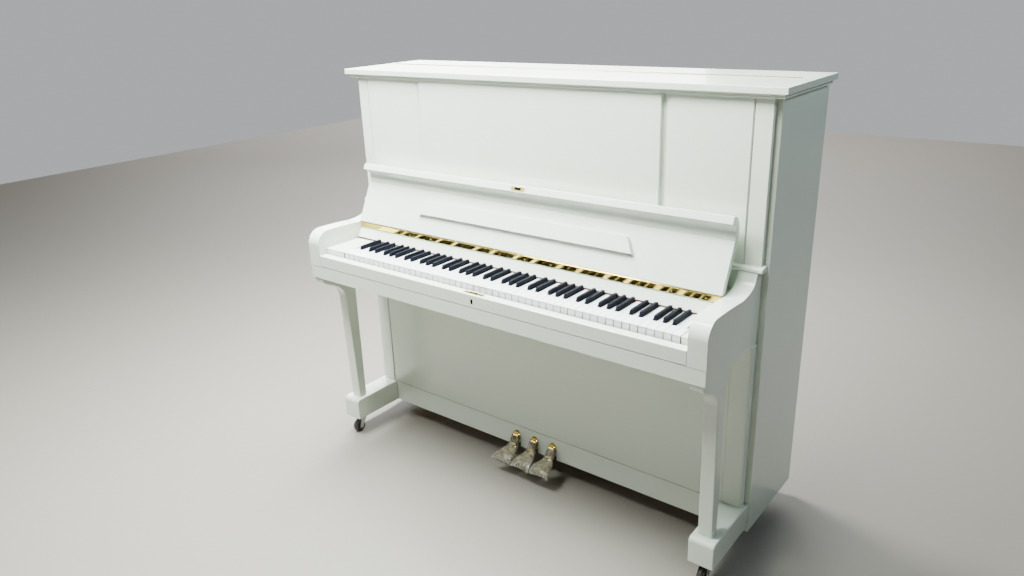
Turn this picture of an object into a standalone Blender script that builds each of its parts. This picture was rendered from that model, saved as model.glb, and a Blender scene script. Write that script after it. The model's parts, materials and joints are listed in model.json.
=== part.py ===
"""Tall upright piano in off-white lacquer: every case panel, key group, pedal, caster and inner frame
as its own object. Metres, +Z up, +X to the player's right, the player sits on the -Y side.
The origin is on the floor, in the middle of the bounding box."""

import math

import bmesh
import bpy
from mathutils import Vector

GAP = 0.0003                      # clearance between neighbouring pieces

# overall case
HALF_LID, LID_FRONT, LID_BACK, LID_SPLIT = 0.7655, -0.0525, 0.3085, 0.1505
TOP, LID_SLAB, LID_MOULDING = 1.313, 0.0175, 0.010
CASE_TOP = TOP - LID_SLAB - LID_MOULDING - 0.0005
SIDE_OUT, SIDE_IN = 0.7418, 0.7158
SIDE_FRONT, BACK, SIDE_FLOOR = -0.0115, 0.3205, 0.0545
FRONT = -0.3200                   # front of the key bed

# upper front
STILE_IN, STILE_OUT, STILE_FACE = 0.6812, 0.7268, -0.0290
PANEL_HALF, CENTRE_HALF, BEVEL_OUT = 0.6806, 0.4340, 0.4620
CENTRE_FACE, WING_FACE, GROOVE_FLOOR, PANEL_BACK = -0.0355, -0.0315, -0.0215, -0.0095
PANEL_FOOT = 0.800
CAP_LOW, CAP_HIGH, CAP_FACE = 0.8533, 0.8662, -0.0465

# arms and key bed
ARM_IN, ARM_OUT, ARM_FRONT = 0.6728, 0.7245, -0.3205
BED_LOW, BED_TOP, BED_HALF, BED_BACK = 0.6495, 0.6922, 0.7235, 0.135
SLIP_FACE, SLIP_BACK, SLIP_TOP = -0.3205, -0.2940, 0.7332

# keyboard: fronts of the white keys at KEY_FRONT, 52 whites a pitch apart
KEY_TOP, KEY_LOW, KEY_FRONT, KEY_BACK = 0.7526, 0.7286, -0.2895, 0.0985
PITCH, WHITES, KEYBOARD_SHIFT = 0.0235, 52, 0.0288
KEY_GAP, SHARP_WIDTH, SHARP_TOP = 0.0010, 0.0112, 0.7646
SHARP_FRONT, SHARP_CAP_BACK, SHARP_BACK = -0.2395, -0.1510, 0.1125
PIVOT_Y, PIVOT_Z = -0.0745, 0.7385
KEYS_LOW_X, KEYS_HIGH_X = KEYBOARD_SHIFT - PITCH * WHITES / 2, KEYBOARD_SHIFT + PITCH * WHITES / 2

# fallboard: a leaning board, its hinge along the lower edge
HINGE_Y, HINGE_Z = -0.1320, 0.8065
FALL_HALF, FALL_THICK = 0.6710, 0.0165
FALL_LOW, FALL_HIGH = (-0.1320, 0.8100), (-0.0705, 0.9380)
DESK_LOW, DESK_HIGH, DESK_THICK = 0.402, 0.376, 0.0115

# lower case
LOWER_FACE, LOWER_THICK = -0.0399, 0.020
RAIL_LOW, RAIL_TOP, KICK_FOOT, KICK_TOP = 0.0685, 0.1470, 0.1484, 0.6480
LOWER_STILE_IN, LOWER_STILE_FACE = 0.6700, -0.0440
TOE_IN, TOE_OUT, TOE_FRONT, TOE_LOW, TOE_TOP = 0.6640, 0.7378, -0.2390, 0.0685, 0.1480
LEG_IN, LEG_OUT = 0.6790, 0.7190

# pedals
PEDAL_X, PEDAL_PIVOT_Y, PEDAL_PIVOT_Z = (-0.075, 0.0, 0.075), 0.0900, 0.1180

# casters
WHEEL_R, WHEEL_HALF = 0.0240, 0.0110
FRONT_CASTER_X, FRONT_SWIVEL_Y, TRAIL = 0.7009, -0.1960, 0.0180
REAR_CASTER_X, REAR_CASTER_Y = 0.6300, 0.2450


def clear_scene():
    for thing in list(bpy.data.objects):
        bpy.data.objects.remove(thing, do_unlink=True)


def collection(name, helper=False):
    group = bpy.data.collections.new(name)
    bpy.context.scene.collection.children.link(group)
    group.hide_render = helper
    return group


def material(name, colour, roughness, metallic=0.0):
    made = bpy.data.materials.new(name)
    made.use_nodes = True
    shader = made.node_tree.nodes["Principled BSDF"]
    shader.inputs["Base Color"].default_value = (*colour, 1.0)
    shader.inputs["Roughness"].default_value = roughness
    shader.inputs["Metallic"].default_value = metallic
    made.diffuse_color = (*colour, 1.0)
    return made


def place(name, mesh, look, home=None):
    piece = bpy.data.objects.new(name, mesh)
    (home or PARTS).objects.link(piece)
    piece.data.materials.append(look)
    return piece


def soften(piece, width, segments=2, angle=40):
    """Rounded edges on the sharp corners of a welded mesh."""
    weld = piece.modifiers.new("Weld", "WELD")
    weld.merge_threshold = 0.00005
    edge = piece.modifiers.new("Bevel", "BEVEL")
    edge.width, edge.segments = width, segments
    edge.limit_method, edge.angle_limit = "ANGLE", math.radians(angle)
    edge.use_clamp_overlap = True
    return piece


def box(name, low, high, look, round_by=0.0, home=None):
    """A box between two corners, its origin at its middle."""
    low, high = Vector(low), Vector(high)
    shell = bmesh.new()
    bmesh.ops.create_cube(shell, size=1.0)
    bmesh.ops.scale(shell, vec=high - low, verts=shell.verts)
    mesh = bpy.data.meshes.new(name)
    shell.to_mesh(mesh)
    shell.free()
    piece = place(name, mesh, look, home)
    piece.location = (low + high) / 2
    return soften(piece, round_by) if round_by else piece


TURNS = {
    "X": (math.radians(90), 0.0, math.radians(90)),   # outline in (y, z), extruded along x
    "Y": (math.radians(90), 0.0, 0.0),                # outline in (x, z), extruded along -y
    "Z": (0.0, 0.0, 0.0),                             # outline in (x, y), extruded along z
}


def outline(name, loops, along, low, high, look, home=None):
    """A flat outline, with further loops as its holes, extruded from low to high along an axis."""
    data = bpy.data.curves.new(name, "CURVE")
    data.dimensions, data.fill_mode = "2D", "BOTH"
    data.extrude = (high - low) / 2
    for loop in loops:
        spline = data.splines.new("POLY")
        spline.points.add(len(loop) - 1)
        for point, (a, b) in zip(spline.points, loop):
            point.co = (a, b, 0.0, 1.0)
        spline.use_cyclic_u = True
    curve = bpy.data.objects.new(name, data)
    bpy.context.scene.collection.objects.link(curve)
    bpy.context.view_layer.update()
    mesh = bpy.data.meshes.new_from_object(curve.evaluated_get(bpy.context.evaluated_depsgraph_get()))
    bpy.data.objects.remove(curve, do_unlink=True)
    shell = bmesh.new()
    shell.from_mesh(mesh)
    bmesh.ops.remove_doubles(shell, verts=shell.verts, dist=0.00002)
    bmesh.ops.dissolve_limit(shell, angle_limit=0.001, verts=shell.verts, edges=shell.edges)
    shell.to_mesh(mesh)
    shell.free()
    mesh.name = name
    mesh.materials.clear()
    piece = place(name, mesh, look, home)
    piece.rotation_euler = TURNS[along]
    middle = (low + high) / 2
    piece.location = {"X": (middle, 0, 0), "Y": (0, middle, 0), "Z": (0, 0, middle)}[along]
    return piece


def join_shells(name, pieces, look, home=None):
    """Several separate closed meshes as one object, in world space."""
    bpy.context.view_layer.update()
    whole = bmesh.new()
    for piece in pieces:
        part = piece.data.copy()
        part.transform(piece.matrix_world)
        whole.from_mesh(part)
        bpy.data.meshes.remove(part)
        bpy.data.objects.remove(piece, do_unlink=True)
    mesh = bpy.data.meshes.new(name)
    whole.to_mesh(mesh)
    whole.free()
    return place(name, mesh, look, home)


def boolean(piece, tool, operation):
    cut = piece.modifiers.new(operation.title(), "BOOLEAN")
    cut.operation, cut.object, cut.solver = operation, tool, "EXACT"
    tool.hide_render, tool.display_type = True, "WIRE"
    for home in list(tool.users_collection):
        home.objects.unlink(tool)
    CUTTERS.objects.link(tool)
    return piece


def cylinder(name, radius, length, along, centre, look, home=None, sides=32):
    shell = bmesh.new()
    bmesh.ops.create_cone(shell, cap_ends=True, segments=sides, radius1=radius, radius2=radius, depth=length)
    mesh = bpy.data.meshes.new(name)
    shell.to_mesh(mesh)
    shell.free()
    piece = place(name, mesh, look, home)
    mesh.shade_smooth()
    mesh.set_sharp_from_angle(angle=math.radians(40))
    piece.rotation_euler = {"X": (0, math.radians(90), 0), "Y": (math.radians(90), 0, 0), "Z": (0, 0, 0)}[along]
    piece.location = centre
    return piece


def arc(centre, radius, start, end, steps):
    """Points on a circle between two angles in degrees."""
    return [(centre[0] + radius * math.cos(math.radians(start + (end - start) * i / steps)),
             centre[1] + radius * math.sin(math.radians(start + (end - start) * i / steps)))
            for i in range(steps + 1)]


def smooth(points, steps=6):
    """A Catmull-Rom curve through the points."""
    ends = [points[0]] + list(points) + [points[-1]]
    curve = []
    for i in range(1, len(ends) - 2):
        p0, p1, p2, p3 = (Vector(p) for p in ends[i - 1:i + 3])
        for k in range(steps):
            t = k / steps
            curve.append(tuple(0.5 * (2 * p1 + (p2 - p0) * t + (2 * p0 - 5 * p1 + 4 * p2 - p3) * t ** 2
                                      + (3 * p1 - p0 - 3 * p2 + p3) * t ** 3)))
    return curve + [tuple(points[-1])]


def both_sides(name, maker):
    """The same piece on the left (side -1) and on the right (side 1)."""
    for word, side in (("left", -1), ("right", 1)):
        maker(f"{name}_{word}", side)


def span(side, inner, outer):
    return (inner, outer) if side > 0 else (-outer, -inner)


clear_scene()
PARTS = collection("upright_piano")
CUTTERS = collection("cutters", helper=True)

LACQUER = material("off_white_lacquer", (0.80, 0.82, 0.77), 0.18)
BRASS = material("polished_brass", (0.83, 0.62, 0.28), 0.18, 1.0)
STEEL = material("nickelled_steel", (0.62, 0.61, 0.58), 0.28, 1.0)
IVORY = material("white_key_plastic", (0.88, 0.90, 0.90), 0.15)
EBONY = material("black_key_plastic", (0.015, 0.015, 0.020), 0.30)
FELT = material("dark_red_felt", (0.16, 0.012, 0.016), 0.95)
WOOD = material("plain_timber", (0.52, 0.36, 0.20), 0.55)
SPRUCE = material("soundboard_spruce", (0.70, 0.50, 0.27), 0.45)
IRON = material("bronzed_iron", (0.42, 0.30, 0.12), 0.40, 0.8)
RUBBER = material("black_wheel", (0.02, 0.02, 0.02), 0.45)


# --- case sides and lid -------------------------------------------------------------------------
def side_board(name, side):
    low, high = span(side, SIDE_IN, SIDE_OUT)
    box(name, (low, SIDE_FRONT, SIDE_FLOOR), (high, BACK, CASE_TOP), LACQUER, 0.0012)


both_sides("side_board", side_board)


def lid(name, front, back, moulded_front):
    """One lid leaf: a slab with a smaller moulding under its outer edges."""
    slab = box(name, (-HALF_LID, front, TOP - LID_SLAB), (HALF_LID, back, TOP), LACQUER)
    inset = 0.0095
    under_front = front + (inset if moulded_front else 0.0)
    under = box(name + "_under", (-HALF_LID + inset, under_front, TOP - LID_SLAB - LID_MOULDING),
                (HALF_LID - inset, back - (0.0 if moulded_front else inset), TOP - LID_SLAB + 0.004), LACQUER)
    boolean(slab, under, "UNION")
    return soften(slab, 0.0016)


lid("lid_front", LID_FRONT, LID_SPLIT - 0.0008, True)
lid("lid_rear", LID_SPLIT + 0.0008, LID_BACK, False)

# --- upper front panel, stiles and arms -----------------------------------------------------------
half_panel = [(CENTRE_HALF - 0.003, CENTRE_FACE), (CENTRE_HALF, CENTRE_FACE + 0.003),
              (CENTRE_HALF, GROOVE_FLOOR), (CENTRE_HALF + 0.003, GROOVE_FLOOR),
              (BEVEL_OUT, WING_FACE), (PANEL_HALF - 0.003, WING_FACE),
              (PANEL_HALF, WING_FACE + 0.003), (PANEL_HALF, PANEL_BACK)]
upper_panel = outline("upper_panel", [half_panel + [(-x, y) for x, y in reversed(half_panel)]], "Z",
                      CAP_LOW, CASE_TOP - 0.001, LACQUER)
boolean(upper_panel, box("upper_panel_ledge", (-PANEL_HALF, CAP_FACE, CAP_LOW),
                         (PANEL_HALF, PANEL_BACK, CAP_HIGH), LACQUER), "UNION")
boolean(upper_panel, box("upper_panel_foot", (-ARM_IN + 0.0010, CAP_FACE + 0.0040, PANEL_FOOT),
                         (ARM_IN - 0.0010, PANEL_BACK, CAP_LOW + 0.005), LACQUER), "UNION")


def stile(name, side):
    """A pilaster with a small chamfer inside, standing on its base moulding."""
    shaft = [(STILE_IN, SIDE_FRONT - GAP), (STILE_IN, STILE_FACE + 0.002), (STILE_IN + 0.002, STILE_FACE),
             (STILE_OUT - 0.001, STILE_FACE), (STILE_OUT, STILE_FACE + 0.001), (STILE_OUT, SIDE_FRONT - GAP)]
    piece = outline(name, [[(side * x, y) for x, y in shaft]], "Z", CAP_HIGH - 0.004, CASE_TOP - 0.001, LACQUER)
    low, high = span(side, STILE_IN, STILE_OUT)
    base = box(name + "_base", (low, CAP_FACE, CAP_LOW), (high, SIDE_FRONT - GAP, CAP_HIGH), LACQUER, 0.0012)
    boolean(piece, base, "UNION")


both_sides("stile", stile)


def arm(name, side):
    """A cheek: round front shoulder, long flat top, and a hollow sweep up to the stile's base."""
    shoulder = arc((ARM_FRONT + 0.048, 0.7640), 0.048, 180, 92, 9)
    sweep = smooth([shoulder[-1], (-0.2245, 0.8112), (-0.1700, 0.8090), (-0.1225, 0.8068), (-0.0820, 0.8136),
                    (-0.0575, 0.8265), (-0.0470, 0.8440), (-0.0440, CAP_LOW - GAP)], 4)
    profile = [(ARM_FRONT, BED_TOP + GAP)] + shoulder[:-1] + sweep
    profile += [(SIDE_FRONT - GAP, CAP_LOW - GAP), (SIDE_FRONT - GAP, BED_TOP + GAP)]
    low, high = span(side, ARM_IN, ARM_OUT)
    soften(outline(name, [profile], "X", low, high, LACQUER), 0.0015, 2, 50)


both_sides("arm", arm)

# --- key bed, key slip, key blocks and name rail ---------------------------------------------------
bed = [(-BED_HALF, FRONT), (BED_HALF, FRONT), (BED_HALF, SIDE_FRONT - GAP), (SIDE_IN - GAP, SIDE_FRONT - GAP),
       (SIDE_IN - GAP, BED_BACK), (-SIDE_IN + GAP, BED_BACK), (-SIDE_IN + GAP, SIDE_FRONT - GAP),
       (-BED_HALF, SIDE_FRONT - GAP)]
key_bed = outline("key_bed", [bed], "Z", BED_LOW, BED_TOP, LACQUER)
for number, (front, back, top) in enumerate(((-0.2700, -0.2450, 0.7120), (-0.0870, -0.0620, 0.7240),
                                             (0.0700, 0.0950, 0.7240))):
    boolean(key_bed, box(f"key_rail_{number}", (KEYS_LOW_X, front, BED_TOP - 0.010), (KEYS_HIGH_X, back, top), WOOD),
            "UNION")

box("key_slip", (-ARM_IN + 0.0012, SLIP_FACE, BED_TOP + GAP), (ARM_IN - 0.0012, SLIP_BACK, SLIP_TOP), LACQUER, 0.0020)
box("slip_lock", (-0.036, SLIP_FACE + 0.0045, SLIP_TOP + GAP), (0.036, SLIP_BACK - 0.0045, SLIP_TOP + 0.0012), BRASS)

for name, low, high in (("key_block_left", -ARM_IN + 0.0008, KEYS_LOW_X - 0.0012),
                        ("key_block_right", KEYS_HIGH_X + 0.0012, ARM_IN - 0.0008)):
    box(name, (low, KEY_FRONT, BED_TOP + GAP), (high, -0.1500, KEY_TOP - 0.0004), LACQUER, 0.0010)

RAIL = [(-0.1485, 0.7575), (-0.1268, 0.7765), (-0.1290, 0.8030), (-0.1262, 0.8030), (-0.1235, 0.7990),
        (-0.0995, 0.7990), (-0.0995, 0.7575)]
outline("name_rail", [RAIL], "X", -ARM_IN + 0.0008, ARM_IN - 0.0008, LACQUER)
box("name_felt", (-ARM_IN + 0.0010, -0.1502, 0.7537), (ARM_IN - 0.0010, -0.1400, 0.7572), FELT)

leaf = [(-0.1281, 0.7770), (-0.1300, 0.8022)]
across = Vector((leaf[1][1] - leaf[0][1], -(leaf[1][0] - leaf[0][0]))).normalized() * -0.0010
knuckle = arc((HINGE_Y, HINGE_Z), 0.0021, -60, 250, 16)
outline("fallboard_hinge", [[leaf[0], leaf[1]] + knuckle +
                            [(leaf[1][0] + across.x, leaf[1][1] + across.y),
                             (leaf[0][0] + across.x, leaf[0][1] + across.y)]], "X",
        -FALL_HALF, FALL_HALF, BRASS)

# --- fallboard, its lip, lock strike and the folding music desk ---------------------------------------
lean = (Vector(FALL_HIGH) - Vector(FALL_LOW)).normalized()
back_by = Vector((lean.y, -lean.x)) * FALL_THICK
low, high = Vector(FALL_LOW), Vector(FALL_HIGH)
LEAN = math.atan2(lean.x, lean.y)
board = outline("fallboard", [[tuple(low), tuple(high), tuple(high + back_by), tuple(low + back_by)]], "X",
                -FALL_HALF, FALL_HALF, LACQUER)
step = lean * GAP
cove = smooth([tuple(high + step), (-0.0668, 0.9520), (-0.0680, 0.9650), (-0.0745, 0.9762), (-0.0835, 0.9825),
               (-0.0929, 0.9848)], 4)
crown = smooth([(-0.0850, 1.0032), (-0.0735, 1.0015), (-0.0610, 0.9935), (-0.0525, 0.9810), (-0.0490, 0.9660),
                (-0.0500, 0.9500), tuple(high + back_by + step)], 4)
soften(outline("fallboard_lip", [cove + crown], "X", -FALL_HALF, FALL_HALF, LACQUER), 0.0012, 2, 50)

lip_low, lip_high = Vector((-0.0929, 0.9848)), Vector((-0.0850, 1.0032))
lip_up = (lip_high - lip_low).normalized()
lip_out = Vector((-lip_up.y, lip_up.x))
lip_mid = (lip_low + lip_high) / 2
corners = [lip_mid + lip_out * out + lip_up * up
           for out, up in ((GAP, -0.0065), (GAP, 0.0065), (0.0011, 0.0065), (0.0011, -0.0065))]
outline("lock_strike", [[tuple(c) for c in corners]], "X", -0.026, 0.026, BRASS)

# the desk is a trapezoid lying on the board, its hinge along its longer lower edge
desk_start, desk_end = 0.0600, 0.1070
desk = outline("music_desk", [[(-DESK_LOW, 0.0), (DESK_LOW, 0.0), (DESK_HIGH, desk_end - desk_start),
                               (-DESK_HIGH, desk_end - desk_start)]], "Y", -DESK_THICK / 2, DESK_THICK / 2, LACQUER)
desk.rotation_euler = (math.radians(90) - LEAN, 0.0, 0.0)
out_by = Vector((-lean.y, lean.x))
seat = low + lean * desk_start + out_by * (0.0010 + DESK_THICK / 2)
desk.location = (0.0, seat.x, seat.y)
soften(desk, 0.0015)

# --- lower case ----------------------------------------------------------------------------------------
box("kick_panel", (-LOWER_STILE_IN + 0.0010, LOWER_FACE, KICK_FOOT),
    (LOWER_STILE_IN - 0.0010, LOWER_FACE + LOWER_THICK, KICK_TOP), LACQUER, 0.0015)

bottom_rail = box("bottom_rail", (-TOE_IN + 0.0006, LOWER_FACE, RAIL_LOW),
                  (TOE_IN - 0.0006, LOWER_FACE + LOWER_THICK, RAIL_TOP), LACQUER, 0.0015)
for number, x in enumerate(PEDAL_X):
    slot = box(f"pedal_slot_{number}", (x - 0.0125, LOWER_FACE - 0.01, RAIL_LOW - 0.01),
               (x + 0.0125, LOWER_FACE + 0.04, 0.1290), LACQUER)
    boolean(bottom_rail, slot, "DIFFERENCE")
floor_front, floor_back = LOWER_FACE + LOWER_THICK + GAP, 0.2050
half_floor = [(TOE_IN - GAP, floor_front), (TOE_IN - GAP, SIDE_FRONT), (SIDE_IN - GAP, SIDE_FRONT),
              (SIDE_IN - GAP, floor_back)]
outline("bottom_board", [half_floor + [(-x, y) for x, y in reversed(half_floor)]], "Z",
        RAIL_LOW, RAIL_LOW + 0.0180, WOOD)


def lower_stile(name, side):
    low, high = span(side, LOWER_STILE_IN, STILE_OUT - 0.0010)
    box(name, (low, LOWER_STILE_FACE, TOE_TOP + GAP), (high, SIDE_FRONT - GAP, BED_LOW - GAP), LACQUER, 0.0030)


both_sides("lower_stile", lower_stile)


def toe(name, side):
    """A long toe block with a round top edge at its front."""
    nose = arc((TOE_FRONT + 0.014, TOE_TOP - 0.014), 0.014, 180, 90, 6)
    profile = [(TOE_FRONT, TOE_LOW)] + nose + [(SIDE_FRONT - GAP, TOE_TOP), (SIDE_FRONT - GAP, TOE_LOW)]
    low, high = span(side, TOE_IN, TOE_OUT)
    soften(outline(name, [profile], "X", low, high, LACQUER), 0.0020, 2, 50)


both_sides("toe", toe)


def leg(name, side):
    """A square leg that narrows towards the toe, with a long hollow bracket in front under the key bed."""
    hollow = smooth([(-0.3160, 0.6400), (-0.3120, 0.6310), (-0.3000, 0.6225), (-0.2850, 0.6140), (-0.2700, 0.6070),
                     (-0.2550, 0.5995), (-0.2445, 0.5905), (-0.2350, 0.5785), (-0.2275, 0.5650),
                     (-0.2240, 0.5500)], 3)
    profile = [(-0.3160, BED_LOW - GAP)] + hollow + [(-0.2130, TOE_TOP + GAP), (-0.1820, TOE_TOP + GAP),
                                                    (-0.1775, BED_LOW - GAP)]
    low, high = span(side, LEG_IN, LEG_OUT)
    soften(outline(name, [profile], "X", low, high, LACQUER), 0.0020, 2, 50)


both_sides("leg", leg)


# --- keys: two interlocking combs an octave long, one for whites and one for sharps -------------------
def slot_edges():
    """Rear slot edges of every key from A0 to C8: five even slots to C-E and seven to F-B."""
    keys = []
    names = "C C# D D# E F F# G G# A A# B".split()
    for octave in range(0, 9):
        for index, name in enumerate(names):
            note = octave * 12 + index
            if not 9 <= note <= 96:
                continue
            start = KEYS_LOW_X + PITCH * (octave * 7 - 5)
            if index < 5:
                width = 3 * PITCH / 5
                low = start + index * width
            else:
                width = 4 * PITCH / 7
                low = start + 3 * PITCH + (index - 5) * width
            keys.append({"note": note, "sharp": "#" in name, "low": low, "high": low + width,
                         "group": min(max(octave, 1), 7) - 1})
    return keys


KEYS = slot_edges()
white_number = 0
for key in KEYS:
    if not key["sharp"]:
        key["head"] = (KEYS_LOW_X + PITCH * white_number, KEYS_LOW_X + PITCH * (white_number + 1))
        white_number += 1


def white_outline(key):
    """Plan of a white key: a full-width head and a tail that stays inside its rear slot."""
    gap = KEY_GAP / 2
    left, right = key["head"][0] + gap, key["head"][1] - gap
    tail_left, tail_right = max(key["low"] + gap, left), min(key["high"] - gap, right)
    bend = SHARP_FRONT - 0.0012
    plan = [(left, KEY_FRONT), (right, KEY_FRONT)]
    if tail_right < right:
        plan += [(right, bend), (tail_right, bend)]
    plan += [(tail_right, KEY_BACK), (tail_left, KEY_BACK)]
    if tail_left > left:
        plan += [(tail_left, bend), (left, bend)]
    return plan


SHARP_SIDE = [(SHARP_FRONT, KEY_LOW), (SHARP_FRONT, KEY_TOP + 0.0005), (SHARP_FRONT + 0.0045, SHARP_TOP - 0.0008),
              (SHARP_FRONT + 0.0065, SHARP_TOP), (SHARP_CAP_BACK, SHARP_TOP), (SHARP_CAP_BACK, 0.7500),
              (SHARP_BACK, 0.7500), (SHARP_BACK, KEY_LOW), (PIVOT_Y + 0.0150, KEY_LOW), (PIVOT_Y + 0.0150, 0.7410),
              (PIVOT_Y - 0.0150, 0.7410), (PIVOT_Y - 0.0150, KEY_LOW)]

for group in range(7):
    whites = [key for key in KEYS if key["group"] == group and not key["sharp"]]
    sharps = [key for key in KEYS if key["group"] == group and key["sharp"]]
    comb = outline(f"naturals_{group + 1}", [white_outline(key) for key in whites], "Z", KEY_LOW, KEY_TOP, IVORY)
    tie = box(f"white_tie_{group}", (whites[0]["head"][0] + 0.003, PIVOT_Y - 0.0100, KEY_LOW - 0.0006),
              (whites[-1]["head"][1] - 0.003, PIVOT_Y + 0.0100, 0.7375), WOOD)
    boolean(comb, tie, "UNION")
    bars = []
    for number, key in enumerate(sharps):
        middle = (key["low"] + key["high"]) / 2
        bars.append(outline(f"sharp_{group}_{number}", [SHARP_SIDE], "X", middle - SHARP_WIDTH / 2,
                            middle + SHARP_WIDTH / 2, EBONY))
    comb = join_shells(f"sharps_{group + 1}", bars, EBONY)
    first, last = sharps[0], sharps[-1]
    tie = box(f"black_tie_{group}", (first["low"] + 0.003, SHARP_BACK - 0.0090, KEY_LOW + 0.0020),
              (last["high"] - 0.003, SHARP_BACK - 0.0010, 0.7480), WOOD)
    boolean(comb, tie, "UNION")

# --- pedals: a swan-necked brass lever through a slot in the bottom rail ---------------------------------
PEDAL_TOP = smooth([(0.1050, 0.1260), (0.0300, 0.1260), (-0.0250, 0.1260), (-0.0440, 0.1225), (-0.0560, 0.1080),
                    (-0.0640, 0.0860), (-0.0800, 0.0720), (-0.1050, 0.0660), (-0.1250, 0.0625)], 4)
PEDAL_UNDER = smooth([(-0.1250, 0.0545), (-0.1030, 0.0560), (-0.0760, 0.0610), (-0.0560, 0.0720),
                      (-0.0470, 0.0900), (-0.0400, 0.1060), (-0.0270, 0.1120), (0.0300, 0.1120), (0.1050, 0.1120)], 4)


def pedal(name, x):
    """The lever's side outline, cut to a narrow arm and neck that flares into a wide toe."""
    lever = outline(name, [PEDAL_TOP + PEDAL_UNDER], "X", x - 0.0340, x + 0.0340, BRASS)
    side = [(0.0095, 0.12), (0.0095, -0.055), (0.0125, -0.068), (0.0210, -0.085), (0.0300, -0.104),
            (0.0330, -0.116), (0.0290, -0.1235), (0.0150, -0.1262)]
    flare = outline(name + "_plan", [[(x + a, b) for a, b in side] + [(x - a, b) for a, b in reversed(side)]], "Z",
                    0.030, 0.150, BRASS)
    boolean(lever, flare, "INTERSECT")


for name, x in zip(("pedal_left", "pedal_middle", "pedal_right"), PEDAL_X):
    pedal(name, x)


# --- casters: a fork under a plate, and a wheel on its own axle ---------------------------------------------
def caster(name, x, swivel_y, wheel_y, top):
    """A wheel between two fork cheeks that hang from a top plate."""
    cheek = 0.0030
    fork = box(f"{name}_fork", (x - 0.0185, swivel_y - 0.0200, top - 0.0050), (x + 0.0185, swivel_y + 0.0200, top),
               STEEL)
    for number, at in enumerate((x - WHEEL_HALF - 0.0012 - cheek, x + WHEEL_HALF + 0.0012)):
        profile = [(swivel_y + 0.0150, top - 0.0020), (swivel_y - 0.0150, top - 0.0020)]
        profile += arc((wheel_y, WHEEL_R), 0.0085, 180, 360, 10)
        boolean(fork, outline(f"{name}_cheek_{number}", [profile], "X", at, at + cheek, STEEL), "UNION")
    boolean(fork, cylinder(f"{name}_axle", 0.0030, 2 * WHEEL_HALF + 0.0070, "X", (x, wheel_y, WHEEL_R), STEEL,
                           sides=20), "UNION")
    profile = [(0.0032, WHEEL_HALF), (WHEEL_R - 0.0030, WHEEL_HALF), (WHEEL_R, WHEEL_HALF - 0.0040),
               (WHEEL_R, -WHEEL_HALF + 0.0040), (WHEEL_R - 0.0030, -WHEEL_HALF), (0.0032, -WHEEL_HALF)]
    shell = bmesh.new()
    ring = [shell.verts.new((radius, 0.0, height)) for radius, height in profile]
    for here, there in zip(ring, ring[1:] + ring[:1]):
        shell.edges.new((here, there))
    mesh = bpy.data.meshes.new(f"{name}_wheel")
    shell.to_mesh(mesh)
    shell.free()
    wheel = place(f"{name}_wheel", mesh, RUBBER)
    turn = wheel.modifiers.new("Screw", "SCREW")
    turn.angle, turn.steps, turn.render_steps = 2 * math.pi, 40, 40
    turn.use_merge_vertices, turn.merge_threshold = True, 0.00005
    turn.use_smooth_shade = True
    wheel.rotation_euler = (0.0, math.radians(90), 0.0)
    wheel.location = (x, wheel_y, WHEEL_R)


for word, side in (("left", -1), ("right", 1)):
    caster(f"caster_front_{word}", side * FRONT_CASTER_X, FRONT_SWIVEL_Y, FRONT_SWIVEL_Y - TRAIL, TOE_LOW - GAP)
    caster(f"caster_rear_{word}", side * REAR_CASTER_X, REAR_CASTER_Y, REAR_CASTER_Y, RAIL_LOW - GAP)

# --- back frame, soundboard, iron plate, strings and action -----------------------------------------------
FRAME_HALF, FRAME_LOW, FRAME_HIGH = SIDE_IN - 0.001, RAIL_LOW, CASE_TOP - 0.012
POSTS, POST_WIDTH, RAIL_HIGH = 5, 0.085, 0.150
bays = []
bay = (2 * FRAME_HALF - POSTS * POST_WIDTH) / (POSTS - 1)
for number in range(POSTS - 1):
    low = -FRAME_HALF + POST_WIDTH + number * (bay + POST_WIDTH)
    bays.append([(low, FRAME_LOW + RAIL_HIGH), (low + bay, FRAME_LOW + RAIL_HIGH),
                 (low + bay, FRAME_HIGH - RAIL_HIGH), (low, FRAME_HIGH - RAIL_HIGH)])
rim = [(-FRAME_HALF, FRAME_LOW), (FRAME_HALF, FRAME_LOW), (FRAME_HALF, FRAME_HIGH), (-FRAME_HALF, FRAME_HIGH)]
soften(outline("back_frame", [rim] + bays, "Y", 0.2150, 0.3165, WOOD), 0.0030)
box("soundboard", (-0.700, 0.2040, 0.1000), (0.700, 0.2140, 1.1200), SPRUCE)

openings = []
edges_x = [-0.655, -0.470, -0.235, 0.020, 0.330, 0.655]
for low, high in zip(edges_x, edges_x[1:]):
    openings.append([(low + 0.016, 0.200), (high - 0.016, 0.200), (high - 0.016, 1.020), (low + 0.016, 1.020)])
plate_rim = [(-0.690, 0.150), (0.690, 0.150), (0.690, 1.255), (-0.690, 1.255)]
outline("iron_plate", [plate_rim] + openings, "Y", 0.1800, 0.1960, IRON)

runs, pitch = 88, 1.270 / 88
for_strings = [[(-0.650, 0.165), (0.650, 0.165), (0.650, 1.200), (-0.650, 1.200)]]
for run in range(0, runs, 4):
    low = -0.635 + run * pitch
    for_strings.append([(low + 0.002, 0.185), (low + 4 * pitch - 0.002, 0.185),
                        (low + 4 * pitch - 0.002, 1.180), (low + 0.002, 1.180)])
outline("strings", for_strings, "Y", 0.1700, 0.1730, STEEL)

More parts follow.
